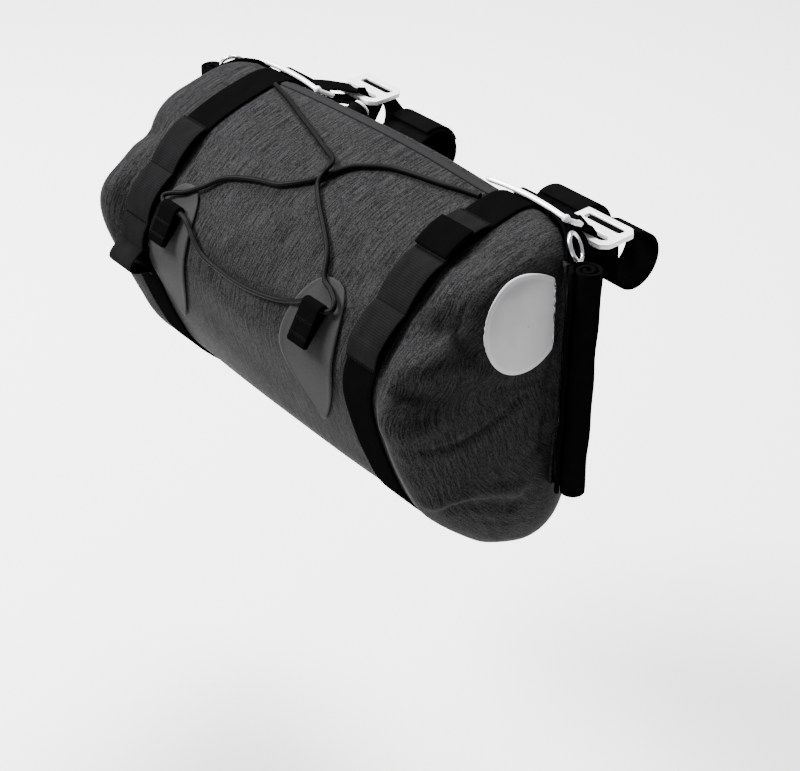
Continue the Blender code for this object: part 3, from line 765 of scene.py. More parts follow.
# Metal loops
# White-coated cast rings lie across the top of the straps, arched to the bag, with a small round lug
# at one end of the front rail. The strap's tab and the link to the buckle share the rear rail.
FRAME_DEPTH = 0.0170
FRAME_RAIL = 0.0040
FRAME_ROOM = 0.0120
METAL = 0.0030
FRAME_PLACE = 0.1880
FRAME_SHIFT = 0.0030
FRAME_LENGTH = 2 * WEB_WIDTH + FRAME_ROOM + 2 * FRAME_RAIL
FRAME_LIFT = 3 * GAP + 2 * WEB + METAL / 2
FRAME_ARCH = 0.0022
FRAME_DIP = 0.0020
LUG_RADIUS = 0.0024
LUG_DIP = 0.8 * FRAME_ARCH
LUG_POLE = 0.15
LUG_ROWS = 12
LOOP_STEP = 0.0012
CORNER_STEPS = 6
TURN_STEPS = 28
COAT = {"Metallic": 0.15, "Coat Weight": 0.4}
WHITE = plain("white_coat", (0.78, 0.79, 0.81), 0.22, 0.36, 900.0, 0.00002, COAT)


def rounded(x0, x1, y0, y1, radius):
    """Corner points of a rectangle with round corners."""
    points = []
    for cx, cy, start in (
        (x1 - radius, y1 - radius, 0.0),
        (x0 + radius, y1 - radius, 0.5),
        (x0 + radius, y0 + radius, 1.0),
        (x1 - radius, y0 + radius, 1.5),
    ):
        for k in range(CORNER_STEPS + 1):
            angle = math.pi * (start + 0.5 * k / CORNER_STEPS)
            points.append((cx + radius * math.cos(angle), cy + radius * math.sin(angle)))
    return points


def soft_section(width, thickness, count=14, power=0.55):
    """Outline of a rail or cord cut across, between an oval and a rectangle."""
    angles = full_turn(count)
    circle = np.stack([np.cos(angles), np.sin(angles)], axis=1)
    return np.sign(circle) * np.abs(circle) ** power * [width / 2, thickness / 2]


def frame_seat(side):
    """Middle of a metal loop, the way to its rear rail, and its tilt."""
    seat, normal, tangent = on_wall(side * STRAP_SPACING / 2, FRAME_PLACE)
    tilt = math.atan2(-tangent.z, -tangent.y)
    centre = seat + normal * FRAME_LIFT
    centre.x = side * STRAP_SPACING / 2 + FRAME_SHIFT
    return centre, Vector((0.0, math.cos(tilt), math.sin(tilt))), tilt


def turned(name, profile, centre, axis):
    """A round piece from (radius, height) rows, about an axis."""
    turn = axis.to_track_quat("Z", "Y")
    angles = full_turn(TURN_STEPS)
    rows = []
    for radius, height in profile:
        ring = [Vector((radius * math.cos(a), radius * math.sin(a), height)) for a in angles]
        rows.append([tuple(centre + turn @ point) for point in ring])
    mesh = sheet_mesh(name, np.array(rows), np.zeros((len(rows), TURN_STEPS + 1, 2)), wrap=True)
    close_strip(mesh, TURN_STEPS, len(rows), False)
    return mesh


for label, side in SIDES:
    centre, rear, tilt = frame_seat(side)
    up = Vector((0.0, -math.sin(tilt), math.cos(tilt)))
    half, deep = (FRAME_LENGTH - FRAME_RAIL) / 2, (FRAME_DEPTH - FRAME_RAIL) / 2
    outline = [(x, y, 0.0) for x, y in rounded(-half, half, -deep, deep, FRAME_RAIL)]
    path = []
    for x, y, _ in resampled(outline, LOOP_STEP, True):
        dip = (1 - y / deep) / 2 * (FRAME_DIP + FRAME_ARCH * (x / half) ** 2)
        path.append(centre + Vector((x, 0, 0)) + rear * y - up * dip)
    mesh = strip_mesh(f"metal_loop_{label}", path, up, soft_section(METAL, FRAME_RAIL), closed=True)
    settle(mesh, WHITE, "white_metal", f"frame_{label}")
    along = Vector((half - FRAME_RAIL / 2, 0, 0))
    lug_at = centre + along - rear * deep - up * (FRAME_DIP + LUG_DIP)
    angles = np.linspace(LUG_POLE, math.pi - LUG_POLE, LUG_ROWS)
    lug = [(LUG_RADIUS * math.sin(a), -LUG_RADIUS * math.cos(a)) for a in angles]
    settle(turned(f"loop_lug_{label}", lug, lug_at, up), WHITE, "white_metal")

# Tabs and links
# The tab is the strap's own webbing, turned round the rear rail and tacked down in front of it, under
# the front rail. The link shares the rear rail and slants to the front bar of the hook buckle.
LINK_WIDTH = 0.0200
LINK_END = 0.0010
LINK_SHIFT = FRAME_SHIFT + FRAME_LENGTH / 2 - FRAME_RAIL - LINK_WIDTH / 2 - LINK_END
LINK_SLANT = 0.0080
TAB_FOOT = 0.0020
BAR_RADIUS = 0.0159
BAR_POINTS = 64
BUCKLE_DEPTH = 0.0280
BUCKLE_RAIL = 0.0045
BUCKLE_SLOT = 0.0060
BUCKLE_END = 0.0055
SLOT_ROOM = 0.0015
RAIL_ROUND = 0.0004
BAND_STEP = 0.0016
BUCKLE_LENGTH = WEB_WIDTH + 2 * (SLOT_ROOM + BUCKLE_END)
BUCKLE_OUT = {"right": 0.0320, "left": 0.0310}
BUCKLE_FRONT = {"right": 0.0240, "left": 0.0070}
BUCKLE_OVER = {"right": 0.0091, "left": 0.0121}


def hull(points):
    """Outline of the taut band around points in a plane."""
    points = sorted(set((round(a, 7), round(b, 7)) for a, b in points))

    def half_of(ordered):
        kept = []
        for p in ordered:
            while len(kept) > 1 and (
                (kept[-1][0] - kept[-2][0]) * (p[1] - kept[-2][1])
                - (kept[-1][1] - kept[-2][1]) * (p[0] - kept[-2][0])
            ) <= 1e-12:
                kept.pop()
            kept.append(p)
        return kept[:-1]

    return half_of(points) + half_of(points[::-1])


def pulley(y, z, radius, steps=24):
    return [(y + radius * math.cos(a), z + radius * math.sin(a)) for a in full_turn(steps)]


def rail_turn(y, z, depth, thickness, tilt):
    """Middle of a band's turn round a metal rail."""
    points = []
    for a, b in ((-1, -1), (1, -1), (1, 1), (-1, 1)):
        u, v = a * (depth / 2 - RAIL_ROUND), b * (thickness / 2 - RAIL_ROUND)
        points += pulley(
            y + u * math.cos(tilt) - v * math.sin(tilt),
            z + u * math.sin(tilt) + v * math.cos(tilt),
            GAP + WEB / 2 + RAIL_ROUND,
        )
    return points


def band_mesh(name, turns, x, width, shape=None):
    """Webbing drawn taut round some turns in the upright plane across the bar."""
    path = resampled([(x, y, z) for y, z in hull(turns)], BAND_STEP, True)
    if shape is not None:
        path = shape(path)
    return strip_mesh(name, path, (1, 0, 0), strip_section(width, WEB), closed=True)


for label, side in SIDES:
    strap_x = side * STRAP_SPACING / 2
    centre, rear, tilt = frame_seat(side)
    deep = (FRAME_DEPTH - FRAME_RAIL) / 2
    rear_rail = centre + rear * deep
    foot, _, _ = on_wall(strap_x, FRAME_PLACE + TAB_FOOT / GIRTH, 2 * GAP + 1.5 * WEB)
    turns = rail_turn(rear_rail.y, rear_rail.z, FRAME_RAIL, METAL, tilt) + [(foot.y, foot.z)]
    mesh = band_mesh(f"tab_webbing_{label}", turns, strap_x, WEB_WIDTH)
    settle(mesh, WEBBING, "webbing", f"frame_tab_{label}")

    buckle_z = BAR_RADIUS + BUCKLE_OVER[label]
    front_bar = -BUCKLE_FRONT[label] - BUCKLE_DEPTH / 2 + BUCKLE_RAIL / 2

    def slanted(path):
        """Lean the link sideways from the rail down to the buckle."""
        fall = np.clip((rear_rail.z - path[:, 2]) / (rear_rail.z - buckle_z), 0.0, 1.0)
        return path + np.outer(fall * LINK_SLANT, (1, 0, 0))

    turns = rail_turn(rear_rail.y, rear_rail.z, FRAME_RAIL, METAL, tilt)
    turns += rail_turn(front_bar, buckle_z, BUCKLE_RAIL, METAL, 0.0)
    mesh = band_mesh(f"link_webbing_{label}", turns, strap_x + LINK_SHIFT, LINK_WIDTH, slanted)
    settle(mesh, WEBBING, "webbing", f"link_{label}")

# Hook buckles
# Flat cast hooks with a slot, white-coated like the loops: the front bar ends free, so the link can be
# slipped off it, and the slot holds the loop round the handlebar.
METAL_ROUND = 0.0005
HOOK_CORNER = 0.0014


def eased(points, radius):
    """The outline with each corner drawn round."""
    made = []
    points = [Vector(point) for point in points]
    for k, corner in enumerate(points):
        before, after = points[k - 1] - corner, points[(k + 1) % len(points)] - corner
        reach = min(radius, before.length / 2, after.length / 2)
        start, stop = corner + before.normalized() * reach, corner + after.normalized() * reach
        for t in np.linspace(0, 1, CORNER_STEPS):
            made.append((1 - t) ** 2 * start + 2 * t * (1 - t) * corner + t * t * stop)
    return made


for label, side in SIDES:
    half, deep = BUCKLE_LENGTH / 2, BUCKLE_DEPTH / 2
    slot_back = deep - BUCKLE_RAIL
    mouth_front = -deep + BUCKLE_RAIL
    mouth_back = mouth_front + BUCKLE_SLOT
    inner = half - BUCKLE_RAIL
    slot = rounded(
        -half + BUCKLE_END, half - BUCKLE_END, slot_back - BUCKLE_SLOT, slot_back, BUCKLE_SLOT / 3
    )
    outline = [
        (-half, deep),
        (-half, mouth_back),
        (inner - BUCKLE_SLOT / 2, mouth_back),
        (inner, mouth_back - BUCKLE_SLOT / 2),
        (inner - BUCKLE_SLOT / 2, mouth_front),
        (-half + BUCKLE_RAIL, mouth_front),
        (-half + BUCKLE_RAIL / 2, mouth_front - BUCKLE_RAIL / 2),
        (-half + BUCKLE_RAIL, -deep),
        (half - BUCKLE_RAIL, -deep),
        (half, -deep + BUCKLE_RAIL),
        (half, deep - BUCKLE_RAIL),
        (half - BUCKLE_RAIL, deep),
    ]
    plate = bpy.data.curves.new(f"hook_{label}", "CURVE")
    plate.dimensions = "2D"
    plate.fill_mode = "BOTH"
    plate.extrude = METAL / 2 - METAL_ROUND
    plate.bevel_depth = METAL_ROUND
    plate.bevel_resolution = 3
    plate.offset = -METAL_ROUND
    for loop in (eased(outline, HOOK_CORNER), slot):
        line = plate.splines.new("POLY")
        line.points.add(len(loop) - 1)
        for target, point in zip(line.points, loop):
            target.co = (point[0], point[1], 0.0, 1.0)
        line.use_cyclic_u = True
    hook = bpy.data.objects.new(f"hook_{label}", plate)
    hook.location = (
        side * STRAP_SPACING / 2 + BUCKLE_OUT[label],
        -BUCKLE_FRONT[label],
        BAR_RADIUS + BUCKLE_OVER[label],
    )
    bpy.context.scene.collection.objects.link(hook)
    plate.materials.append(WHITE)
    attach(hook, "root")
    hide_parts(f"buckle_{label}")

# Loops round the handlebar
# Plain 25 mm webbing goes once round the bar, and its fold stands in the buckle's slot, flush with the
# plate's top.
for label, side in SIDES:
    slot_y = -BUCKLE_FRONT[label] + BUCKLE_DEPTH / 2 - BUCKLE_RAIL - BUCKLE_SLOT / 2
    fold_z = BAR_RADIUS + BUCKLE_OVER[label] + METAL / 2 - 3 * WEB / 2
    turns = pulley(0.0, 0.0, BAR_RADIUS + GAP + WEB / 2, BAR_POINTS) + pulley(slot_y, fold_z, WEB)
    x = side * STRAP_SPACING / 2 + BUCKLE_OUT[label]
    mesh = band_mesh(f"bar_webbing_{label}", turns, x, WEB_WIDTH)
    settle(mesh, WEBBING, "webbing", f"bar_loop_{label}")

# Hook-and-loop straps and foam spacers
# Wide soft straps close on themselves round the bar, with a flap end on top, and a block of dense
# closed-cell foam inside each keeps the bag off the bar.
BAR_STRAP_WIDTH = 0.0390
BAR_STRAP_IN = {"right": 0.0130, "left": 0.0710}
PAD_HEIGHT = 0.0238
PAD_WIDTH = 0.0360
PAD_DROP = 0.0102
PAD_POWER = 9
PAD_CUTS = 15
FLAP_ARC = (0.10, 0.62)
FLAP_POINTS = 26
FLAP_LESS = 0.0030
NAP = woven("loop_pile", 0.0010, 0.0075, 0.0030, 0.00012)
FOAM = plain(
    "foam", (0.0025, 0.0025, 0.0026), 0.75, 0.95, 2600.0, 0.0003, {"Specular IOR Level": 0.0}
)


def back_of_bag(z):
    """Where the bag's back wall is at a height between its middle and its crest."""
    rising = SHARES[: len(SHARES) * 4 // len(SECTION)]
    share = np.interp((z - TOP_ABOVE_BAR) / BAG_HEIGHT + 1.0, rising[:, 1], rising[:, 0])
    return -BAR_TO_BAG - share * BAG_DEPTH


for label, side in SIDES:
    x = side * (STRAP_SPACING / 2 - BAR_STRAP_IN[label])
    beside_strap = BAR_STRAP_IN[label] > (BAR_STRAP_WIDTH + WEB_WIDTH) / 2
    layers = 1 if beside_strap else 2
    foot = -PAD_DROP - PAD_HEIGHT / 2 - 6 * GAP
    head = -PAD_DROP + PAD_HEIGHT / 2 + 6 * GAP
    pad_front = back_of_bag(foot) + 2 * GAP + layers * (WEB + GAP)
    turns = pulley(0.0, 0.0, BAR_RADIUS + GAP + WEB / 2, BAR_POINTS)
    for corner_z in (foot, head):
        turns += pulley(pad_front + GAP, corner_z, 2 * GAP + WEB / 2)
    mesh = band_mesh(f"wide_strap_{label}", turns, x, BAR_STRAP_WIDTH)
    settle(mesh, NAP, "webbing", f"bar_strap_{label}")
    reach = BAR_RADIUS + 2 * GAP + 1.6 * WEB
    angles = math.pi * np.linspace(*FLAP_ARC, FLAP_POINTS)
    flap = [(x, reach * math.cos(a), reach * math.sin(a)) for a in angles]
    outline = strip_section(BAR_STRAP_WIDTH - FLAP_LESS, WEB)
    mesh = strip_mesh(f"strap_flap_{label}", flap, (1, 0, 0), outline)
    settle(mesh, NAP, "webbing")

    pad_back = -BAR_RADIUS - GAP
    depth = pad_back - pad_front - 3 * GAP
    middle = Vector((x, (pad_back + pad_front + GAP) / 2, -PAD_DROP))
    half_size = Vector((PAD_WIDTH, depth, PAD_HEIGHT)) / 2
    body = bmesh.new()
    bmesh.ops.create_cube(body, size=2.0)
    bmesh.ops.subdivide_edges(body, edges=body.edges, cuts=PAD_CUTS, use_grid_fill=True)
    for corner in body.verts:
        size = sum(abs(part) ** PAD_POWER for part in corner.co) ** (1 / PAD_POWER)
        corner.co = middle + corner.co / size * half_size
    mesh = bpy.data.meshes.new(f"spacer_{label}")
    body.to_mesh(mesh)
    body.free()
    mesh.shade_smooth()
    spacer = settle(mesh, FOAM, "foam", f"bar_pad_{label}")

# Rolled ends
# Each mouth has a hem of plain black cloth, pressed flat and rolled up, so its layers show as upright
# folds beside the end.
ROLL_CLOTH = 0.0024
ROLL_PITCH = 0.0036
ROLL_TURNS = 2.2
PATCH = 0.0006
ROLL_ROWS = 60
ROLL_POINTS = 44
ROLL_WAVE = 0.0006
ROLL_SHEET = 0.9 * ROLL_CLOTH
HEM = woven("hem_cloth", 0.0006, 0.0060, 0.0009, 0.00008)
for label, side in SIDES:
    mouth = end_wall(side, MOUTH_RING, np.linspace(0, 1, 60, endpoint=False))
    low, high = mouth[:, 2].min(), mouth[:, 2].max()
    outer = ROLL_PITCH * ROLL_TURNS + ROLL_CLOTH / 2
    centre_x = abs(mouth[:, 0]).max() + GAP + PATCH + GAP + outer + ROLL_CLOTH / 2
    centre_y = mouth[:, 1].max() + GAP
    rows = []
    for height in np.linspace(0, 1, ROLL_ROWS):
        z = low + (high - low) * height
        line = []
        for share in np.linspace(0, 1, round(ROLL_POINTS * ROLL_TURNS)):
            angle = math.pi + 2 * math.pi * ROLL_TURNS * (1 - share)
            radius = ROLL_PITCH * ROLL_TURNS * (1 - share) + ROLL_CLOTH / 2
            wave = math.sin(19 * height + 2.5 * angle) * math.sin(7 * height + share)
            radius += ROLL_WAVE * (1 - share) * wave
            x, y = centre_x + radius * math.cos(angle), centre_y + radius * math.sin(angle)
            line.append((side * x, y, z))
        rows.append(line)
    grid = np.array(rows)
    down = lay_lengths(grid, False)
    around = lay_lengths(grid.transpose(1, 0, 2), False).T
    mesh = sheet_mesh(f"rolled_end_{label}", grid, np.stack([around, down], axis=-1))
    roll = settle(mesh, HEM, "bag_cloth", f"roll_{label}")
    thicken(roll, ROLL_SHEET, 0.0)

# Webbing and ring that hold each roll
# Narrow webbing comes down the end from the top of the bag to a bent wire ring beside the roll.
END_WEB_WIDTH = 0.0140
END_WEB_PLACE = 0.190
END_WEB_ROWS = 15
END_RING_ROW = 8
RING_RADIUS = 0.0080
RING_WIRE = 0.0026
RING_POINTS = 64
WIRE_POINTS = 12
WIRE = plain("bright_wire", (0.62, 0.63, 0.65), 0.18, 0.34, 700.0, 0.00002, {"Metallic": 1.0})
for label, side in SIDES:
    path, sideways, outward = [], [], []
    for place in np.linspace(1.0, MOUTH_RING - 1, END_WEB_ROWS):
        spread = END_WEB_WIDTH / 2 / GIRTH
        girths = [END_WEB_PLACE - spread, END_WEB_PLACE, END_WEB_PLACE + spread]
        ring = end_wall(side, place, girths)
        ahead = end_wall(side, place + 0.05, [END_WEB_PLACE])[0]
        tangent = Vector(ring[2] - ring[0])
        normal = tangent.cross(Vector(ahead - ring[1])).normalized() * side
        lift = GAP + WEB / 2 + max(0.0, float(fold_height(ring[1])))
        path.append(Vector(ring[1]) + normal * lift)
        sideways.append(tangent.normalized())
        outward.append(normal)
    mesh = strip_mesh(f"end_webbing_{label}", path, sideways, strip_section(END_WEB_WIDTH, WEB))
    settle(mesh, WEBBING, "webbing", f"end_strap_{label}")
    normal = outward[END_RING_ROW]
    middle = path[END_RING_ROW] + normal * (WEB / 2 + GAP + RING_WIRE / 2)
    turn = normal.to_track_quat("Z", "Y")
    ring = [Vector((math.cos(a), math.sin(a), 0.0)) * RING_RADIUS for a in full_turn(RING_POINTS)]
    ring = [middle + turn @ point for point in ring]
    outline = soft_section(RING_WIRE, RING_WIRE, WIRE_POINTS, 1.0)
    mesh = strip_mesh(f"wire_ring_{label}", ring, normal, outline, closed=True)
    settle(mesh, WIRE, "wire_metal", f"end_ring_{label}")

# Seam strip
# The tube's one long seam is welded along the crest under a narrow strip with two pale edges.
WELT_WIDTH = 0.0065
WELT_PLACE = 0.2135
WELT_CLOTH = 0.0004
WELT_RISE = 0.0007
WELT_CURVE = 1.9
WELT_GRID = (120, 7)
BETWEEN_STRAPS = STRAP_SPACING / 2 - WEB_WIDTH / 2 - GAP


def seam_paint(start):
    along, across = start.lay()
    from_middle = (across - WELT_WIDTH / 2).math("ABSOLUTE")
    edge = from_middle.band(WELT_WIDTH * 0.40, WELT_WIDTH * 0.46)
    thread = (along * 2600).math("SINE") * 0.25 + 0.75
    tone = edge * thread
    varied = {"Base Color": tone.mix(grey(0.0008), grey(0.016)), "Roughness": 0.62 - 0.1 * edge}
    return varied, {"Specular IOR Level": 0.0}, (tone, 0.0002)


rows = []
for place in np.linspace(-BETWEEN_STRAPS, BETWEEN_STRAPS, WELT_GRID[0]):
    line = []
    for share in np.linspace(-0.5, 0.5, WELT_GRID[1]):
        girth = WELT_PLACE + share * WELT_WIDTH / GIRTH
        crown = WELT_RISE * math.sqrt(1 - (WELT_CURVE * share) ** 2)
        line.append(on_wall(place, girth, GAP + crown)[0])
    rows.append(line)
grid = np.array(rows)
down = lay_lengths(grid, False)
around = np.broadcast_to(np.linspace(0, WELT_WIDTH, WELT_GRID[1]), down.shape)
mesh = sheet_mesh("seam_strip", grid, np.stack([down, around], axis=-1))
seam = settle(mesh, finish_of("seam_strip", seam_paint), "weld_patch", "top_welt")
thicken(seam, WELT_CLOTH)

# Welded patches under the anchors
# Thin shields of the same cloth welded on: a finer, slanting weave, and a pressed edge that is paler.
ANCHORS = {"right": (0.0655, 0.4080), "left": (-0.0790, 0.4050)}
ANCHOR_PATCH_WIDTH = 0.0470
ANCHOR_PATCH_HEIGHT = 0.0960
ANCHOR_PATCH_DROP = 0.0297
PRESSED_EDGE = 0.0004
EDGE_PLACE = 0.93
EDGE_WIDTH = 0.05
SHIELD_GRID = (56, 28)


def shield(share):
    """Half width of a patch that is round above and pointed below."""
    if share < 0:
        return math.sqrt(max(0.0, 1 - share * share)) * 0.94 + 0.06
    return 1.0 - 0.94 * share**1.6


def weld_paint(start):
    across, down = start.lay()
    rim = across.math("ABSOLUTE").math("MAXIMUM", down.math("ABSOLUTE")).band(0.88, 0.97)
    spread = start.node("ShaderNodeTexCoord", {}, {}, output=3)
    x = start.node("ShaderNodeSeparateXYZ", {}, {"Vector": spread})
    z = Shade(start.tree, x.socket.node.outputs["Z"])
    twill = ((x + z) * 4200).math("SINE") * 0.5 + 0.5
    cross = ((x - z) * 2600).math("SINE") * 0.5 + 0.5
    fluff = start.speckle(900.0, 3.0)
    weave = twill * 0.5 + cross * 0.2 + fluff * 0.5
    tone = (weave + rim * 0.55) * 0.8
    varied = {"Base Color": tone.mix(grey(0.002), grey(0.032)), "Roughness": 0.78 - 0.2 * rim}
    return varied, {"Specular IOR Level": 0.03}, (weave, 0.00015)


WELD = finish_of("weld_patch", weld_paint)
for label, side in SIDES:
    x, girth = ANCHORS[label]
    rows, places = [], []
    for share in np.linspace(-1, 1, SHIELD_GRID[0]):
        line, flat_line = [], []
        for across in np.linspace(-1, 1, SHIELD_GRID[1]):
            place = x + across * shield(share) * ANCHOR_PATCH_WIDTH / 2
            place = max(-BETWEEN_STRAPS, min(BETWEEN_STRAPS, place))
            drop = ANCHOR_PATCH_DROP + share * ANCHOR_PATCH_HEIGHT / 2
            edge = max(abs(share), abs(across))
            rise = PATCH + PRESSED_EDGE * math.exp(-(((edge - EDGE_PLACE) / EDGE_WIDTH) ** 2))
            line.append(on_wall(place, girth + drop / GIRTH, GAP + rise)[0])
            flat_line.append((across, share))
        rows.append(line)
        places.append(flat_line)
    mesh = sheet_mesh(f"welded_patch_{label}", np.array(rows), np.array(places))
    patch = settle(mesh, WELD, "weld_patch", f"anchor_patch_{label}")
    thicken(patch, PATCH)

# Cord anchors
# A short piece of webbing, folded over the cord and tacked down below it.
CORD = 0.0032
ANCHOR_WIDTH = 0.0160
ANCHOR_LENGTH = 0.0220
ANCHOR_STEP = 0.0012
TACK_ROWS = (0.45, 0.85)
TACK_ENDS = (-0.44, 0.44)
TACKS = 12
TACK_LIFT = 0.0002
tacks = []
for label, side in SIDES:
    x, girth = ANCHORS[label]
    point, normal, tangent = on_wall(x, girth)
    eye = CORD / 2 + 2 * GAP
    height = GAP + PATCH + GAP + WEB + eye
    turn = pulley(0.0, height, eye + WEB / 2)
    foot = pulley(ANCHOR_LENGTH, height - CORD / 2, GAP + WEB / 2)
    path = resampled([(a, b, 0.0) for a, b in hull(turn + foot)], ANCHOR_STEP, True)
    loop = [point + tangent * a + normal * b for a, b, _ in path]
    outline = strip_section(ANCHOR_WIDTH, WEB)
    mesh = strip_mesh(f"anchor_webbing_{label}", loop, (1, 0, 0), outline, closed=True)
    settle(mesh, WEBBING, "webbing", f"anchor_{label}")
    for row in TACK_ROWS:
        rise = height + eye + WEB - (CORD / 2 + eye - GAP) * row + TACK_LIFT
        spot = point + tangent * row * ANCHOR_LENGTH + normal * rise
        for across in np.linspace(*TACK_ENDS, TACKS):
            tacks.append((spot + Vector((across * ANCHOR_WIDTH, 0, 0)), tangent, normal))
threads("anchor_tacks", tacks, THREAD, "webbing")

# End patches
# Round patches of pale reflective film on the bag's ends, with a slightly brighter pressed rim. They
# bend with the folds under them and stop at the rolled mouth.
PATCH_RINGS = 30
PATCH_SPOKES = 96
outside = BVHTree.FromPolygons(
    [corner.co for corner in bag.data.vertices], [face.vertices for face in bag.data.polygons]
)


def film_paint(start):
    out, _ = start.lay()
    rim = out.band(0.90, 0.93) - out.band(0.965, 0.99) * 0.7
    grain, scuff = start.speckle(1600.0, 3.0), start.speckle(60.0, 4.0)
    tone = scuff * 0.5 + grain * 0.2 + rim * 0.35
    varied = {"Base Color": tone.mix(grey(0.26), grey(0.46)), "Roughness": 0.36 + 0.2 * scuff}
    return varied, {"Specular IOR Level": 0.45}, (grain, 0.00004)


FILM = finish_of("reflective_film", film_paint)
for label, side in SIDES:
    mouth_front = end_wall(side, MOUTH_RING, np.linspace(0, 1, 90, endpoint=False))[:, 1].min()
    start = Vector((side * (STRAP_SPACING + END_REACH), PATCH_Y, PATCH_Z))
    middle, facing, _, _ = outside.ray_cast(start, Vector((-side, 0.0, 0.0)))
    facing *= math.copysign(1.0, facing.x * side)
    to_mouth = Vector((0.0, 0.0, side)).cross(facing).normalized()
    upward = facing.cross(to_mouth) * side
    most = (mouth_front - 4 * PATCH - middle.y) / to_mouth.y
    rows, places = [], []
    for out in np.linspace(0.001, 1, PATCH_RINGS):
        line = []
        for turn in full_turn(PATCH_SPOKES):
            spot = middle + to_mouth * min(most, out * END_PATCH_RADIUS * math.cos(turn))
            spot += upward * out * END_PATCH_RADIUS * math.sin(turn)
            found, normal, _, _ = outside.ray_cast(spot + facing * END_PATCH_RADIUS, -facing)
            if normal.x * side < 0:
                normal = -normal
            line.append(found + normal * (3 * GAP))
        rows.append(line)
        places.append([(out, 0.0)] * (PATCH_SPOKES + 1))
    grid, lay = np.array(rows), np.array(places)
    mesh = sheet_mesh(f"end_film_{label}", grid, lay, wrap=True, flip=side > 0)
    film = settle(mesh, FILM, "light_patch", f"end_patch_{label}")
    thicken(film, PATCH)

# Snap
# A round white cap on a black base, on the back shoulder beside the left buckle.
SNAP_RADIUS = 0.0060
SNAP_CAP = 0.0026
SNAP_BASE = 0.0090
SNAP_INSET = 0.0540
SNAP_PLACE = 0.165
GLOSS = plain("snap_cap", (0.78, 0.78, 0.79), 0.22, 0.34, 900.0, 0.00002, {})
point, normal, _ = on_wall(-STRAP_SPACING / 2 + SNAP_INSET, SNAP_PLACE)
base = 1.5 * SNAP_RADIUS
profile = [(0.3 * base, 0.0), (base, 0.0), (base, 0.0012), (0.94 * base, 0.0022)]
profile += [(0.80 * base, 0.0030), (0.80 * base, SNAP_BASE - 0.001)]
profile += [(0.72 * base, SNAP_BASE), (0.2 * base, SNAP_BASE)]
mesh = turned("snap_foot", profile, point + normal * GAP, normal)
settle(mesh, FOAM, "foam", "snap_base")
profile = [(0.2 * SNAP_RADIUS, 0.0), (0.9 * SNAP_RADIUS, 0.0), (SNAP_RADIUS, 0.0006)]
for a in np.linspace(0.1, 1.5, 10):
    profile.append((SNAP_RADIUS * math.cos(a), 0.0010 + (SNAP_CAP - 0.0010) * math.sin(a)))
mesh = turned("snap_button", profile, point + normal * (2 * GAP + SNAP_BASE), normal)
settle(mesh, GLOSS, "snap_white", "snap_cap")

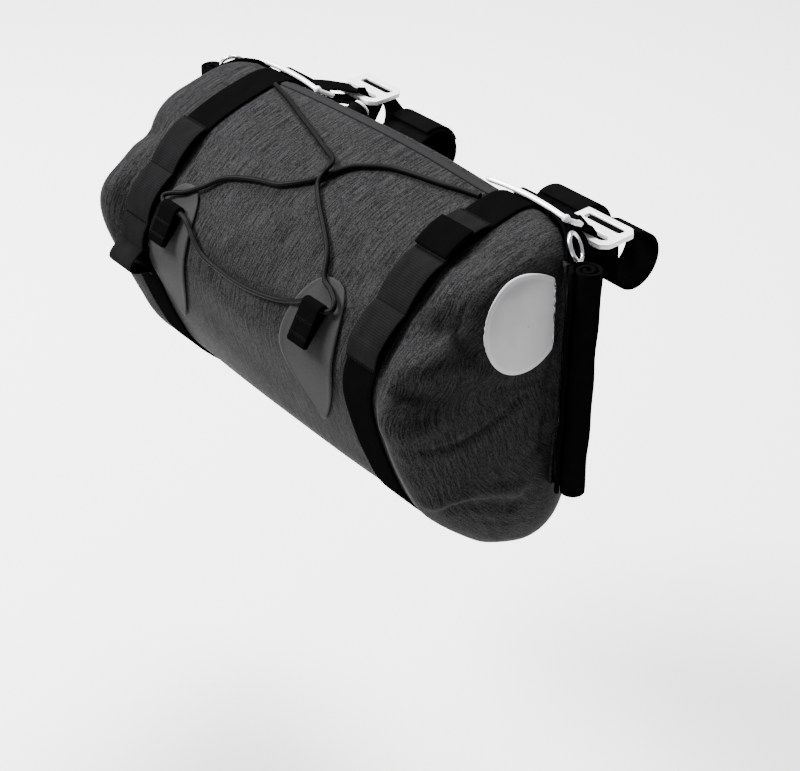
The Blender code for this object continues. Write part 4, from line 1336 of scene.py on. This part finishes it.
# Elastic cord
# One braided 3.2 mm cord, crossed on the upper front and led through both anchors, with its two ends
# under the straps.
CORD_ROUTE = (
    # along, girth, lift
    (-0.0975, 0.226, 0.0),
    (-0.0750, 0.237, 0.0),
    (-0.0506, 0.251, 0.0),
    (-0.0123, 0.272, 0.0),
    (0.0026, 0.281, 0.0008),
    (0.0090, 0.2955, 0.0037),
    (0.0108, 0.311, 0.0008),
    (0.0224, 0.3264, 0.0),
    (0.0369, 0.3431, 0.0),
    (0.0505, 0.3611, 0.0004),
    (0.0596, 0.3819, 0.0011),
    (0.0680, 0.3880, 0.0016),
    (0.0762, 0.3955, 0.0028),
    (0.0778, 0.4030, 0.0032),
    (0.0725, 0.4080, 0.0032),
    (0.0655, 0.4080, 0.0032),
    (0.0575, 0.4080, 0.0032),
    (0.0490, 0.4140, 0.0014),
    (0.0300, 0.4236, 0.0),
    (0.0080, 0.4292, 0.0),
    (-0.0149, 0.4306, 0.0),
    (-0.0376, 0.4278, 0.0),
    (-0.0540, 0.4150, 0.0016),
    (-0.0620, 0.4080, 0.0028),
    (-0.0690, 0.4050, 0.0032),
    (-0.0790, 0.4050, 0.0032),
    (-0.0890, 0.4050, 0.0032),
    (-0.0935, 0.3990, 0.0032),
    (-0.0885, 0.3915, 0.0020),
    (-0.0790, 0.3840, 0.0014),
    (-0.0680, 0.3700, 0.0008),
    (-0.0565, 0.3514, 0.0),
    (-0.0350, 0.3375, 0.0),
    (-0.0132, 0.3292, 0.0),
    (0.0040, 0.3100, 0.0),
    (0.0095, 0.2955, 0.0),
    (0.0166, 0.2764, 0.0),
    (0.0252, 0.2653, 0.0),
    (0.0372, 0.2542, 0.0),
    (0.0527, 0.2472, 0.0),
    (0.0714, 0.2403, 0.0),
    (0.0860, 0.2330, 0.0),
    (0.0975, 0.2290, 0.0),
)
CORD_STEP = 0.0008
BRAID = 0.0026
BRAID_STRANDS = 6
CORD_SIDES = 12
ROUTE_POINTS = 900


def braid_paint(start):
    along, around = start.lay()
    turn = around * (2 * BRAID_STRANDS / CORD)
    pitch = along * (2 * math.pi / BRAID)
    one, two = (pitch + turn).math("SINE"), (pitch - turn).math("SINE")
    strand = (one * two) * 0.5 + 0.5
    fluff = start.noise(along * 1800, around * 1800, 4.0)
    tone = strand * (0.6 + 0.4 * fluff)
    varied = {"Base Color": tone.mix(grey(0.0004), grey(0.0045)), "Roughness": 0.58 - 0.15 * strand}
    return varied, {"Specular IOR Level": 0.03}, (strand, 0.00018)


def carried(path):
    """A sideways way for each point of a path, with no twist from one to the next."""
    path = np.asarray(path, float)
    ahead = np.gradient(path, axis=0)
    ahead /= np.linalg.norm(ahead, axis=1, keepdims=True)
    side = np.cross(ahead[0], (0.0, 0.0, 1.0))
    ways = []
    for way in ahead:
        side = side - way * (side @ way)
        side /= np.linalg.norm(side)
        ways.append(side)
    return np.array(ways)


route = spline(CORD_ROUTE, np.linspace(0, len(CORD_ROUTE) - 1, ROUTE_POINTS))
line = [on_wall(x, girth, GAP + CORD / 2 + lift)[0] for x, girth, lift in route]
line = resampled(line, CORD_STEP, False)
mesh = strip_mesh("braided_cord", line, carried(line), soft_section(CORD, CORD, CORD_SIDES, 1.0))
settle(mesh, finish_of("braided_cord", braid_paint), "elastic_cord", "bungee_cord")
